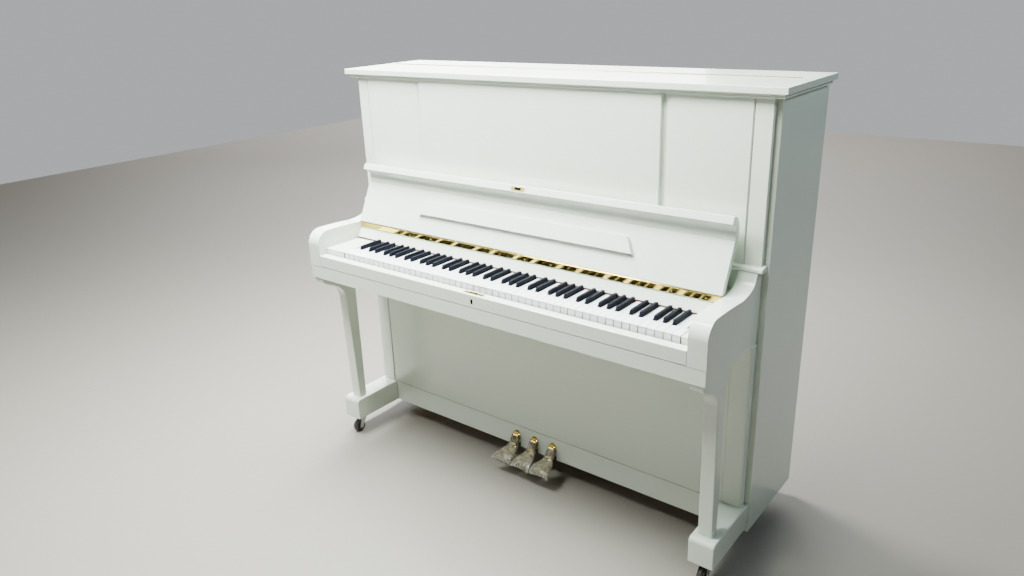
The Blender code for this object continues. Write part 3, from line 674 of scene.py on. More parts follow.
# %% Key bed and its rails
low, high = corners("key_bed")
BED_TOP, CASE_IN, CASE_FRONT = 0.6922, 0.7155, corners("side_board_left")[0].y - 0.0003
bed = [(low.x, low.y), (high.x, low.y), (high.x, CASE_FRONT), (CASE_IN, CASE_FRONT),
       (CASE_IN, high.y), (-CASE_IN, high.y), (-CASE_IN, CASE_FRONT), (low.x, CASE_FRONT)]
hang("key_bed_board", bar(bed, "Z", low.z, BED_TOP, 0.0004, 2), LACQUER, instead_of=["key_bed"])
key_low, key_high = corners("naturals_1")[0], corners("naturals_7")[1]
FRONT_RAIL = (-0.2700, -0.2450, 0.7120)
BALANCE_RAIL, BACK_RAIL = (-0.0870, -0.0620, 0.7240), (0.0700, 0.0950, 0.7240)
rails = [block((key_low.x, front, BED_TOP - 0.001), (key_high.x, back, top), 0.001)
         for front, back, top in (FRONT_RAIL, BALANCE_RAIL, BACK_RAIL)]
hang("key_frame_rails", together(rails), RAIL_WOOD)
print("key bed:", [round(v, 4) for v in high - low])

# %% Key slip with its keyhole and lock plate
low, high = corners("key_slip")
REBATE_IN, REBATE_UP = low.y + 0.0080, low.z + 0.0022
side_view = [(high.y, low.z), (REBATE_IN, low.z), (REBATE_IN, REBATE_UP), (low.y, REBATE_UP)]
side_view += arc((low.y + 0.0028, high.z - 0.0028), 0.0028, 180, 90, 6) + [(high.y, high.z)]
hang("key_slip_rail", bar(side_view, "X", low.x, high.x, 0.0003, 2, 40), LACQUER, instead_of=["key_slip"])
EYE_HEIGHT, SKIRT, SKIRT_FOOT, LINER = low.z + 0.0225, 0.0036, low.z + 0.0127, 0.0005
keyhole = arc((0.0, EYE_HEIGHT), 0.0046, -45, 225, 14) + [(-SKIRT, SKIRT_FOOT), (SKIRT, SKIRT_FOOT)]
liner = arc((0.0, EYE_HEIGHT), 0.0046 + LINER, -48, 228, 16)
liner += [(-SKIRT - LINER, SKIRT_FOOT - LINER), (SKIRT + LINER, SKIRT_FOOT - LINER)]
hang("keyhole_liner", bar(liner, "Y", low.y - 0.0003, low.y + 0.0020, 0.0002, 2), BRASS)
# The keyhole is a dark insert just proud of the slip: painted shade standing for the hole.
hang("keyhole", bar(keyhole, "Y", low.y - 0.0005, low.y + 0.0020), HOLE_SHADE)
low, high = corners("slip_lock")
margin = Vector((0, 0.0022, 0))
plate = block(low + margin, high - margin, 0.0004, 2)
slot_low = Vector((-0.014, low.y + 0.0045, high.z - 0.0006))
slot_high = Vector((0.014, high.y - 0.0045, high.z + 0.0002))
screws = [rod((x, (low.y + high.y) / 2, high.z), "Z", 0.0032, 0.0008, 20, 0.0026) for x in (-0.028, 0.028)]
hang("slip_lock_plate", together([plate] + screws), BRASS, instead_of=["slip_lock"])
# The slot is a dark block laid on the plate: painted shade standing for the opening.
hang("slip_lock_slot_shade", block(slot_low, slot_high, 0.0001, 1), HOLE_SHADE)
print("keyhole at z =", round(EYE_HEIGHT, 4))

# %% Key blocks at both ends of the keyboard
BLOCK_GAP, GAP_SHADE_BACK = 0.0012, -0.1520
for word, side in SIDES:
    low, high = corners(f"key_block_{word}")
    inner = low if side > 0 else high
    gap_shade_ends = sorted((inner.x, inner.x + side * BLOCK_GAP))
    inner.x += side * BLOCK_GAP
    # The strip on the block's inner side is painted shade: it stands for the shadowed gap between the last
    # key and the block.
    felt = block((gap_shade_ends[0], low.y + 0.001, low.z + 0.001), (gap_shade_ends[1], GAP_SHADE_BACK, high.z - 0.004), 0.0)
    hang(f"cheek_block_{word}", block(low, high, 0.0012), LACQUER, instead_of=[f"key_block_{word}"])
    hang(f"cheek_gap_shade_{word}", felt, GAP_SHADE)
    print(f"key block {word}:", round(high.x - low.x, 4), "wide")

# %% [markdown]
# ## Keys
#
# A white key is a spruce stick with an acrylic top and front glued on. Its head is a pitch wide, and its
# tail is cut narrower to let the black keys through. Rear slots are even: five share the width of three
# heads from C to E, and seven share four heads from F to B. The plan outline is drawn upwards, once for the
# stick and once for the overhanging top. A black key is a tapered cap on its own stick.

# %% Where every key lies
PITCH = (key_high.x - key_low.x + 0.0010) / 52
KEYS_START, KEY_FRONT, KEY_TOP, KEY_FLOOR = key_low.x - 0.0005, key_low.y, key_high.z, 0.7286
NOTE_NAMES = "C C# D D# E F F# G G# A A# B".split()
SHARP_FRONT = corners("sharps_1")[0].y
SHARP_TOP = corners("sharps_1")[1].z
FELT_LINE = -0.1505


def lay_out_keys():
    """Every key from A0 to C8 with its rear slot, its head if it is white, and its octave group."""
    keys, whites = [], 0
    for octave in range(9):
        for index, name in enumerate(NOTE_NAMES):
            if not 9 <= octave * 12 + index <= 96:
                continue
            start = KEYS_START + PITCH * (octave * 7 - 5)
            width = 3 * PITCH / 5 if index < 5 else 4 * PITCH / 7
            low = start + index * width if index < 5 else start + 3 * PITCH + (index - 5) * width
            key = {"sharp": "#" in name, "low": low, "high": low + width, "group": min(max(octave, 1), 7)}
            if not key["sharp"]:
                key["head"] = (KEYS_START + PITCH * whites, KEYS_START + PITCH * (whites + 1))
                whites += 1
            keys.append(key)
    return keys


KEYS = lay_out_keys()
print(len(KEYS), "keys,", sum(key["sharp"] for key in KEYS), "of them black, pitch", round(PITCH, 5))


# %% One white key
def white_plan(key, front, back, gap):
    """The plan of a white key: a wide head and a tail inside its rear slot."""
    left, right = key["head"][0] + gap, key["head"][1] - gap
    tail_left, tail_right = max(key["low"] + gap, left), min(key["high"] - gap, right)
    bend = SHARP_FRONT - 0.0014
    plan = [(left, front), (right, front)]
    if tail_right < right:
        plan += [(right, bend), (tail_right, bend)]
    plan += [(tail_right, back), (tail_left, back)]
    if tail_left > left:
        plan += [(tail_left, bend), (left, bend)]
    return plan


TOP_SHEET, TOP_GAP, APRON_GAP, STICK_GAP, WHITE_BACK = 0.0026, 0.0008, 0.0014, 0.0015, 0.0985


def white_key(key):
    """A stick, its acrylic front and its overhanging top; the stick takes the second finish."""
    top = bar(white_plan(key, KEY_FRONT, FELT_LINE + 0.004, TOP_GAP), "Z", KEY_TOP - TOP_SHEET, KEY_TOP,
              0.0006, 2)
    left, right = key["head"]
    apron = block((left + APRON_GAP, KEY_FRONT + 0.0012, KEY_FLOOR),
                  (right - APRON_GAP, KEY_FRONT + 0.0030, KEY_TOP - 0.002), 0.0003, 1)
    stick = bar(white_plan(key, KEY_FRONT + 0.0029, WHITE_BACK, STICK_GAP), "Z", KEY_FLOOR,
                KEY_TOP - TOP_SHEET + 0.0002)
    return together([top, apron, in_second_finish(stick)])


for group in range(1, 8):
    shapes = [white_key(key) for key in KEYS if key["group"] == group and not key["sharp"]]
    hang(f"white_keys_octave_{group}", together(shapes), [KEY_WHITE, STICK_WOOD], f"white_keys_{group}",
         [f"naturals_{group}"])
print("white keys in place, top at z =", round(KEY_TOP, 4))

# %% One black key
CAP_BACK, CAP_FLOOR = FELT_LINE - 0.0002, KEY_TOP - 0.0015
HALF_FOOT, HALF_HEAD, HALF_STICK, BLACK_BACK, STICK_TOP = 0.0057, 0.0046, 0.0050, 0.1120, 0.7500


def black_key(key):
    """A cap with sloping sides and nose on a narrow stick."""
    middle = (key["low"] + key["high"]) / 2
    cap = bmesh.new()
    bmesh.ops.create_cube(cap, size=1.0)
    lengthwise = [edge for edge in cap.edges if abs(edge.verts[0].co.y - edge.verts[1].co.y) > 0.5]
    bmesh.ops.subdivide_edges(cap, edges=lengthwise, cuts=1)
    for vert in cap.verts:
        high, nose, mid = vert.co.z > 0, vert.co.y < -0.2, abs(vert.co.y) < 0.2
        vert.co.x = middle + math.copysign(HALF_HEAD if high else HALF_FOOT, vert.co.x)
        vert.co.z = SHARP_TOP if high else CAP_FLOOR
        vert.co.y = CAP_BACK if vert.co.y > 0.2 else SHARP_FRONT + (0.0105 if mid else 0.0)
        if nose and high:
            vert.co.y, vert.co.z = SHARP_FRONT + 0.0052, SHARP_TOP - 0.0011
    face_outward(cap)
    round_edges(cap, sharp_edges(cap, 20), 0.0011)
    stick = block((middle - HALF_STICK, SHARP_FRONT + 0.002, KEY_FLOOR + 0.0005),
                  (middle + HALF_STICK, BLACK_BACK, STICK_TOP), 0.0004, 1)
    return together([cap, in_second_finish(stick)])


for group in range(1, 8):
    shapes = [black_key(key) for key in KEYS if key["group"] == group and key["sharp"]]
    hang(f"black_keys_octave_{group}", together(shapes), [KEY_BLACK, STICK_WOOD], f"black_keys_{group}",
         [f"sharps_{group}"], 45)
print("black keys in place, nose at y =", round(SHARP_FRONT, 4))

# %% [markdown]
# ## Name rail, felt and the long brass hinge
#
# A strip of dark red felt closes the gap behind the keys. Above it the name rail slopes back, and a polished
# brass leaf stands in a notch of it over the keyboard's whole width: it mirrors the black keys. Its knuckle
# runs along the top edge in short barrels, which all ride with the leaf on the rail.

# %% Rail and felt
low, high = corners("name_rail")
NOTCH, RAIL_TOP = [(-0.1309, 0.7849), (-0.1270, 0.7838)], 0.7990
rail = [(low.y, low.z)] + NOTCH + [(NOTCH[-1][0], RAIL_TOP), (high.y, RAIL_TOP), (high.y, low.z)]
rail = bar(rail, "X", low.x, high.x, 0.0005)
shelf = block((low.x, high.y - 0.002, 0.7900), (high.x, -0.0425, RAIL_TOP), 0.001, 2)
hang("sloping_name_rail", together([rail, shelf]), LACQUER, instead_of=["name_rail"])
low, high = corners("name_felt")
felt = block(low, high, 0.0009, 3)
bmesh.ops.subdivide_edges(felt, edges=[e for e in felt.edges if e.calc_length() > 1.0], cuts=120)
for vert in felt.verts:
    if vert.co.z > low.z + 0.0005:
        vert.co += Vector((0, 0.6, 1)) * 0.00025 * noise.noise(vert.co * 160)
hang("name_rail_felt", felt, NAME_FELT, instead_of=["name_felt"])
print("felt strip:", round(high.x - low.x, 4), "long")

# %% Fallboard hinge
fall_joint = next(joint for joint in frame["record"]["behaviour"]["joints"] if joint["name"] == "fall_hinge")
HINGE = Vector(fall_joint["pos_m"])
low, high = corners("fallboard_hinge")
LEAF_FOOT, LEAF_HEAD, BARREL = Vector((-0.1291, 0.7884)), Vector((-0.1300, 0.8040)), 0.0019
rise = (LEAF_HEAD - LEAF_FOOT).normalized()
through = Vector((rise.y, -rise.x)) * 0.0011
leaf = bar([tuple(LEAF_FOOT), tuple(LEAF_HEAD), tuple(LEAF_HEAD + through), tuple(LEAF_FOOT + through)], "X",
           low.x, high.x, 0.0002, 1)
BARRELS, SCREWS, SCREW_MARGIN, LEAF_LEAN = 42, 14, 0.045, 3.5
barrels, screws = [], []
run = (high.x - low.x) / BARRELS
for number in range(BARRELS):
    x = low.x + (number + 0.5) * run
    barrels.append(rod((x, HINGE.y, HINGE.z), "X", BARREL, run - 0.0007, 14, rounded=0.0003))
hang("fall_hinge_leaf", together([leaf] + barrels), BRASS, instead_of=["fallboard_hinge"])
middle = LEAF_FOOT.lerp(LEAF_HEAD, 0.42)
dome = [(0.0, 0.00035), (0.0019, 0.0003), (0.0026, 0.0), (0.0026, -0.0010), (0.0, -0.0010)]
for number in range(SCREWS):
    x = low.x + SCREW_MARGIN + number * (high.x - low.x - 2 * SCREW_MARGIN) / (SCREWS - 1)
    head = turned(dome, ORIGIN, "Y", 20)
    bmesh.ops.scale(head, vec=(1, -1, 1), verts=head.verts)
    face_outward(head)
    screws.append(move(turn_about(head, "X", LEAF_LEAN), (x, middle.x, middle.y)))
hang("fall_hinge_screws", together(screws), BRASS)
print("fallboard hinge:", BARRELS, "barrels and", SCREWS, "screws")

# %% [markdown]
# ## Fallboard, lip and music desk
#
# The open fallboard leans back some 26 degrees. Its top ends in a lip: a cove that curls forward, a flat
# face and a round crown. The music desk is a flap that lies on the board, hinged along its lower, longer
# edge. The lock's brass strike sits in the middle of the lip.

# %% Fallboard
FALL_LOW, FALL_HIGH, FALL_THICK = Vector((-0.1320, 0.8100)), Vector((-0.0705, 0.9380)), 0.0165
lean = (FALL_HIGH - FALL_LOW).normalized()
back = Vector((lean.y, -lean.x)) * FALL_THICK
low, high = corners("fallboard")
corners_of_board = [FALL_LOW, FALL_HIGH, FALL_HIGH + back, FALL_LOW + back]
hang("fall_board", bar([tuple(c) for c in corners_of_board], "X", low.x, high.x, 0.0009, 3), LACQUER, "fall",
     ["fallboard"])
print("fallboard leans back", round(math.degrees(math.atan2(lean.x, lean.y)), 1), "degrees")

# %% Lip with its cove and crown
step = lean * 0.0003
LIP_LOW, LIP_HIGH = Vector((-0.0929, 0.9848)), Vector((-0.0850, 1.0032))
cove = smooth([tuple(FALL_HIGH + step), (-0.0668, 0.9520), (-0.0680, 0.9650), (-0.0745, 0.9762),
               (-0.0835, 0.9825), tuple(LIP_LOW)])
crown = smooth([tuple(LIP_HIGH), (-0.0735, 1.0015), (-0.0610, 0.9935), (-0.0525, 0.9810), (-0.0490, 0.9660),
                (-0.0500, 0.9500), tuple(FALL_HIGH + back + step)])
hang("fall_lip", bar(cove + crown, "X", low.x, high.x, 0.0016, 3, 42), LACQUER, "fall", ["fallboard_lip"])
lip_up = (LIP_HIGH - LIP_LOW).normalized()
LIP_TILT = math.degrees(math.atan2(lip_up.x, lip_up.y))
print("lip face tilts back", round(LIP_TILT, 1), "degrees")


# %% Lock strike on the lip
def on_lip(shape):
    """Lays a shape made at the origin, facing -Y, on the middle of the lip's front face."""
    spot = LIP_LOW.lerp(LIP_HIGH, 0.5)
    return move(turn_about(shape, "X", -LIP_TILT), (0, spot.x, spot.y))


STRIKE_HALF, STRIKE_END = 0.0258, 0.0058
oval = arc((STRIKE_HALF - STRIKE_END, 0.0), STRIKE_END, -90, 90, 12)
oval += arc((STRIKE_END - STRIKE_HALF, 0.0), STRIKE_END, 90, 270, 12)
strike = bar(oval, "Y", -0.0010, 0.0010, 0.0003, 2, 50)
heads = [rod((x, -0.0011, 0), "Y", 0.0030, 0.0008, 18, 0.0024) for x in (-0.0186, 0.0186)]
hang("lip_strike", on_lip(together([strike] + heads)), BRASS, "fall", ["lock_strike"])
# The slot is a dark block on the strike: painted shade standing for its opening.
slot = block((-0.0115, -0.0013, -0.0040), (0.0115, 0.0005, 0.0040), 0.0003, 1)
hang("lip_strike_slot_shade", on_lip(slot), HOLE_SHADE, "fall")
print("strike plate", round(2 * STRIKE_HALF, 4), "long")

# %% Music desk flap
DESK_START, DESK_RISE, DESK_FACE, DESK_BACK, DESK_OFF = 0.0600, 0.0470, -0.0115, -0.0014, 0.0010
low, high = corners("music_desk")
desk_half, desk_top_half = high.x, high.x - 0.026
flap = bar([(-desk_half, 0), (desk_half, 0), (desk_top_half, DESK_RISE), (-desk_top_half, DESK_RISE)], "Y",
           DESK_FACE, DESK_BACK, 0.0010)
LEAN_DEGREES = math.degrees(math.atan2(lean.x, lean.y))


def on_fallboard(shape, along):
    """Lays a shape made at the origin, facing -Y, on the fallboard's front at a height along it."""
    spot = FALL_LOW + lean * along
    return move(turn_about(shape, "X", -LEAN_DEGREES), (0, spot.x, spot.y))


move(flap, (0, -DESK_OFF, 0))
hang("music_desk_flap", on_fallboard(flap, DESK_START), LACQUER, "desk", ["music_desk"])
print("desk flap:", round(2 * desk_half, 3), "long below,", round(2 * desk_top_half, 3), "above")

# %% [markdown]
# ## Lower case
#
# The kick panel lifts out above a fixed bottom rail, which has a slot for each pedal. A plain stile closes
# each end, and a long toe block carries the leg. The leg narrows downwards, and its bracket is one long
# hollow.

# %% Kick panel and bottom rail
low, high = corners("kick_panel")
hang("kick_panel_board", block(low, high, 0.0020), LACQUER, instead_of=["kick_panel"])
low, high = corners("bottom_rail")
PEDALS = ("left", "middle", "right")
SLOT_HALF, SLOT_TOP, PEDAL_X = 0.0125, 0.1290, {}
rail = [(low.x, low.z)]
for word in PEDALS:
    p_low, p_high = corners(f"pedal_{word}")
    x = PEDAL_X[word] = (p_low.x + p_high.x) / 2
    arch = arc((x, SLOT_TOP - SLOT_HALF), SLOT_HALF, 180, 0, 10)
    rail += [(x - SLOT_HALF, low.z)] + arch + [(x + SLOT_HALF, low.z)]
rail += [(high.x, low.z), (high.x, high.z), (low.x, high.z)]
hang("bottom_rail_board", bar(rail, "Y", low.y, high.y, 0.0014), LACQUER, instead_of=["bottom_rail"])
print("bottom rail has", len(PEDALS), "slots")

# %% Lower stiles and toe blocks
TOE_NOSE = 0.014
for word, _ in SIDES:
    low, high = corners(f"lower_stile_{word}")
    hang(f"lower_front_stile_{word}", block(low, high, 0.0035, 4), LACQUER,
         instead_of=[f"lower_stile_{word}"])
    low, high = corners(f"toe_{word}")
    nose = arc((low.y + TOE_NOSE, high.z - TOE_NOSE), TOE_NOSE, 180, 90, 10)
    side_view = [(low.y, low.z)] + nose + [(high.y, high.z), (high.y, low.z)]
    hang(f"toe_block_{word}", bar(side_view, "X", low.x, high.x, 0.0032, 4, 40), LACQUER,
         instead_of=[f"toe_{word}"])
    print(f"toe {word}:", [round(v, 4) for v in high - low])

# %% Legs with their brackets
BRACKET = [(0.0, 0.0092), (0.0040, 0.0182), (0.0160, 0.0267), (0.0310, 0.0352), (0.0460, 0.0422),
           (0.0610, 0.0497), (0.0715, 0.0587), (0.0810, 0.0707), (0.0885, 0.0842), (0.0920, 0.0992)]
FOOT_FRONT, FOOT_BACK = 0.1030, 0.1340
for word, _ in SIDES:
    low, high = corners(f"leg_{word}")
    hollow = smooth([(low.y + out, high.z - drop) for out, drop in BRACKET])
    foot = [(low.y + FOOT_FRONT, low.z), (low.y + FOOT_BACK, low.z)]
    leg = bar([(low.y, high.z)] + hollow + foot + [(high.y, high.z)], "X", low.x, high.x, 0.0026, 4, 40)
    hang(f"front_leg_{word}", leg, LACQUER, instead_of=[f"leg_{word}"])
    print(f"leg {word}:", round(high.x - low.x, 4), "wide,", round(high.z - low.z, 3), "high")

# %% [markdown]
# ## Pedals and their transit bags
#
# A pedal is a cast brass lever with a swan neck: narrow through the slot, thin and wide at the toe. It is
# lofted through rings that follow its centre line. Each one still wears a loose clear bag, pinched behind
# the toe, with a hem that droops at its corners and drifts to one side. The bag is a second, larger loft
# whose skin is pushed about by noise, more and more towards the hem.


# %% A lofted lever
def lever_ring(shape, centre, direction, half_wide, half_deep, square, sides):
    """A ring of points round a centre line in the YZ plane, between an ellipse and a rectangle."""
    made = bmesh.ops.create_circle(shape, cap_ends=False, radius=1.0, segments=sides)
    up = Vector((0, -direction.z, direction.y))
    for vert in made["verts"]:
        c, s = vert.co.x, vert.co.y
        a = math.copysign(abs(c) ** square, c) * half_wide
        b = math.copysign(abs(s) ** square, s) * half_deep
        vert.co = centre + Vector((a, 0, 0)) + up * b
    return list({edge for vert in made["verts"] for edge in vert.link_edges})


def loft(stations, square, sides=24):
    """Rings at each station, bridged in turn. A station is (y, z, half width, half depth)."""
    shape = bmesh.new()
    rings = []
    for number, (y, z, wide, deep) in enumerate(stations):
        before, after = stations[max(number - 1, 0)], stations[min(number + 1, len(stations) - 1)]
        direction = Vector((0, after[0] - before[0], after[1] - before[1])).normalized()
        rings.append(lever_ring(shape, Vector((0, y, z)), direction, wide, deep, square, sides))
    for first, second in zip(rings, rings[1:]):
        bmesh.ops.bridge_loops(shape, edges=first + second)
    bmesh.ops.holes_fill(shape, edges=rings[0] + rings[-1], sides=0)
    face_outward(shape)
    return shape


PEDAL_KNOTS = [(0.1050, 0.1190, 0.0095, 0.0065), (0.0300, 0.1190, 0.0102, 0.0065),
               (-0.0180, 0.1195, 0.0108, 0.0062), (-0.0340, 0.1190, 0.0126, 0.0058),
               (-0.0450, 0.1135, 0.0145, 0.0055), (-0.0525, 0.1010, 0.0150, 0.0050),
               (-0.0590, 0.0890, 0.0150, 0.0044), (-0.0700, 0.0780, 0.0168, 0.0040),
               (-0.0870, 0.0715, 0.0225, 0.0036), (-0.1010, 0.0685, 0.0270, 0.0034),
               (-0.1100, 0.0672, 0.0275, 0.0030), (-0.1150, 0.0666, 0.0230, 0.0018)]
PEDAL_STEPS, PEDAL_SQUARE = 4, 0.38
print("pedal stations:", len(smooth(PEDAL_KNOTS, PEDAL_STEPS)))

# %% Pedals
for word in PEDALS:
    lever = move(loft(smooth(PEDAL_KNOTS, PEDAL_STEPS), PEDAL_SQUARE), (PEDAL_X[word], 0, 0))
    hang(f"brass_pedal_{word}", lever, BRASS, f"{word}_pedal", [f"pedal_{word}"], 50)
print("pedals:", len(PEDALS))


# %% Clear film for the bags
def film_material():
    """Thin, slightly yellowed clear film: see-through where smooth, milky where it is creased."""
    made = bpy.data.materials.new("clear_bag_film")
    made.use_nodes = True
    tree = made.node_tree
    shader = tree.nodes["Principled BSDF"]
    where = tree.nodes.new("ShaderNodeTexCoord").outputs["Object"]
    folds = add_noise(tree, where, 46.0, 2.0, 0.5, (1.0, 1.4, 0.8))
    creases = add_ramp(tree, add_noise(tree, where, 150.0, 2.0, 0.5), 0.56, 0.74)
    milky = times(tree, add_ramp(tree, folds, 0.46, 0.72), 0.55)
    milky = add_math(tree, "MAXIMUM", milky, times(tree, creases, 0.45))
    colour = add_mix(tree, milky, (0.25, 0.235, 0.160), (0.58, 0.58, 0.60))
    tree.links.new(colour, shader.inputs["Base Color"])
    opacity = plus(tree, 0.62, times(tree, milky, 0.30))
    tree.links.new(opacity, shader.inputs["Alpha"])
    rough = plus(tree, 0.16, times(tree, milky, 0.2))
    tree.links.new(rough, shader.inputs["Roughness"])
    relief = tree.nodes.new("ShaderNodeBump")
    relief.inputs["Strength"].default_value, relief.inputs["Distance"].default_value = 1.0, 0.0007
    tree.links.new(plus(tree, folds, times(tree, creases, 0.4)), relief.inputs["Height"])
    tree.links.new(relief.outputs["Normal"], shader.inputs["Normal"])
    return made


BAG_FILM = film_material()
print("film:", BAG_FILM.name)

# %% The bags
BAG_KNOTS = [(-0.0480, 0.1105, 0.0160, 0.0078), (-0.0545, 0.1000, 0.0166, 0.0076),
             (-0.0610, 0.0880, 0.0172, 0.0074), (-0.0710, 0.0770, 0.0205, 0.0078),
             (-0.0860, 0.0705, 0.0280, 0.0078), (-0.1010, 0.0670, 0.0335, 0.0074),
             (-0.1130, 0.0650, 0.0352, 0.0066), (-0.1210, 0.0625, 0.0358, 0.0050),
             (-0.1270, 0.0580, 0.0362, 0.0032), (-0.1300, 0.0530, 0.0364, 0.0016)]
BAG_STEPS, BAG_SQUARE, BAG_SIDES = 7, 0.6, 72
LOOSE_START, LOOSE_RUN, HEM_START, HEM_RUN, HEM_DROOP, HEM_HALF = -0.050, 0.08, -0.108, 0.022, 0.006, 0.036
HEM_DRIFT = {"left": -0.013, "middle": -0.004, "right": 0.002}


def bag_shape(seed, drift_x):
    """A loose sleeve over the toe whose skin creases more and more towards its drooping hem."""
    bag = loft(smooth(BAG_KNOTS, BAG_STEPS), BAG_SQUARE, BAG_SIDES)
    bag.normal_update()
    drift = Vector((seed * 3.7, seed * 1.9, seed * 2.3))
    for vert in bag.verts:
        place = vert.co
        loose = min(max((LOOSE_START - place.y) / LOOSE_RUN, 0.0), 1.0)
        crease = noise.noise(place * 48 + drift) + 0.5 * (1.0 - 2.0 * abs(noise.noise(place * 90 - drift)))
        hem = min(max((HEM_START - place.y) / HEM_RUN, 0.0), 1.0)
        push = vert.normal * (0.0003 + 0.0014 * loose) * crease
        sideways = drift_x * (0.4 + 0.6 * (place.x * drift_x > 0))
        ripple = 0.0015 * math.sin(place.x * 240 + seed)
        wave = Vector((sideways, ripple, -HEM_DROOP * (abs(place.x) / HEM_HALF) ** 2))
        vert.co = place + push + wave * hem
    return bag


for number, word in enumerate(PEDALS):
    bag = move(bag_shape(number + 1.0, HEM_DRIFT[word]), (PEDAL_X[word], 0, 0))
    hang(f"pedal_bag_{word}", bag, BAG_FILM, f"{word}_pedal", smooth_angle=80)
print("bags:", len(PEDALS), "hems drooping", HEM_DROOP)

# %% [markdown]
# ## Casters
#
# A caster is a top plate, a ball race, a pressed fork and a solid wheel on an axle. The front ones swivel
# under the toes and trail behind; the rear ones are fixed under the bottom board.


# %% One caster
TRAIL, SEAT_HALF, CROWN_HALF, CHEEK_OUT, CHEEK_THICK = 0.0180, 0.0185, 0.0125, 0.0040, 0.0024
RACE = [(0.0, -0.0034), (0.0122, -0.0034), (0.0132, -0.0008), (0.0132, 0.0012), (0.0, 0.0012)]


def caster(name, fork_body, wheel_body, swivels):
    """A plate with four screws, a race, two cheeks, an axle, and a turned wheel."""
    w_low, w_high = corners(f"{name}_wheel")
    _, f_high = corners(f"{name}_fork")
    hub = (w_low + w_high) / 2
    x, top, radius, half = hub.x, f_high.z, (w_high.z - w_low.z) / 2, (w_high.x - w_low.x) / 2
    swivel_y = hub.y + (TRAIL if swivels else 0.0)
    shapes = [block((x - SEAT_HALF, swivel_y - 0.020, top - 0.0028), (x + SEAT_HALF, swivel_y + 0.020, top),
                    0.0008, 2)]
    for dx in (-0.013, 0.013):
        for dy in (-0.0145, 0.0145):
            shapes.append(rod((x + dx, swivel_y + dy, top - 0.0030), "Z", 0.0026, 0.0016, 16, rounded=0.0004))
    if swivels:
        shapes.append(turned(RACE, (x, swivel_y, top - 0.0038), "Z", 40))
    crown, reach = top - 0.0068, half + CHEEK_OUT
    shapes.append(block((x - reach, swivel_y - CROWN_HALF, crown - 0.0022),
                        (x + reach, swivel_y + CROWN_HALF, crown), 0.0006, 2))
    for face_x in (x - reach, x + reach - CHEEK_THICK):
        cheek = [(swivel_y + CROWN_HALF, crown - 0.0004), (swivel_y - CROWN_HALF, crown - 0.0004)]
        cheek += arc((hub.y, hub.z), 0.0080, 180, 360, 14)
        shapes.append(bar(cheek, "X", face_x, face_x + CHEEK_THICK, 0.0005, 2, 40))
    shapes.append(rod((x, hub.y, hub.z), "X", 0.0030, 2 * half + 0.0098, 20, rounded=0.0006))
    for tip in (x - half - 0.0047, x + half + 0.0047):
        shapes.append(rod((tip, hub.y, hub.z), "X", 0.0046, 0.0018, 20, rounded=0.0006))
    hang(f"{name}_yoke", together(shapes), NICKEL, fork_body, [f"{name}_fork"])
    flank = [(0.0033, half), (0.0075, half), (0.0085, half - 0.0015), (radius - 0.0070, half - 0.0015),
             (radius - 0.0042, half - 0.0005)]
    tread = flank + arc((radius - 0.0080, 0.0), 0.0080, 62, -62, 10)
    tread += [(r, -out) for r, out in reversed(flank)] + flank[:1]
    hang(f"{name}_tread", turned(tread, hub, "X", 56), WHEEL_BLACK, wheel_body, [f"{name}_wheel"])


for word, _ in SIDES:
    caster(f"caster_front_{word}", f"front_{word}_caster", f"front_{word}_wheel", True)
    caster(f"caster_rear_{word}", "case", f"rear_{word}_wheel", False)
print("casters: 4")

# %% [markdown]
# ## The back
#
# Behind, an upright is honest joinery: five posts between two heavy rails, the spruce soundboard in the bays
# with its ribs running aslant, and bolts through the top rail into the plate.

# %% Posts and rails
low, high = corners("back_frame")
POSTS, POST, RAIL_DEPTH = 5, 0.085, 0.150
BOLTS, BOLT_START, BOLT_STEP = 9, -0.62, 0.155
frame_half = high.x
bay = (2 * frame_half - POSTS * POST) / (POSTS - 1)
for word, floor_z, stands_for in (("lower", low.z, ["back_frame"]), ("upper", high.z - RAIL_DEPTH, ())):
    rail = block((-frame_half, low.y, floor_z), (frame_half, high.y, floor_z + RAIL_DEPTH), 0.0030, 2)
    hang(f"back_rail_{word}", rail, RAIL_WOOD, instead_of=stands_for)
posts = []
for number in range(POSTS):
    x = -frame_half + number * (POST + bay)
    posts.append(block((x, low.y + 0.002, low.z + RAIL_DEPTH - 0.0005),
                       (x + POST, high.y - 0.002, high.z - RAIL_DEPTH + 0.0005), 0.0045))
hang("back_posts", together(posts), POST_WOOD)
bolts, bolt_z = [], high.z - RAIL_DEPTH / 2
for x in (BOLT_START + number * BOLT_STEP for number in range(BOLTS)):
    bolts.append(rod((x, high.y + 0.0005, bolt_z), "Y", 0.0085, 0.0030, 6, 0.0075))
    bolts.append(rod((x, high.y, bolt_z), "Y", 0.0130, 0.0012, 28, rounded=0.0003))
hang("back_bolts", together(bolts), NICKEL)
print("back:", POSTS, "posts,", round(bay, 3), "between them, and", BOLTS, "bolts")

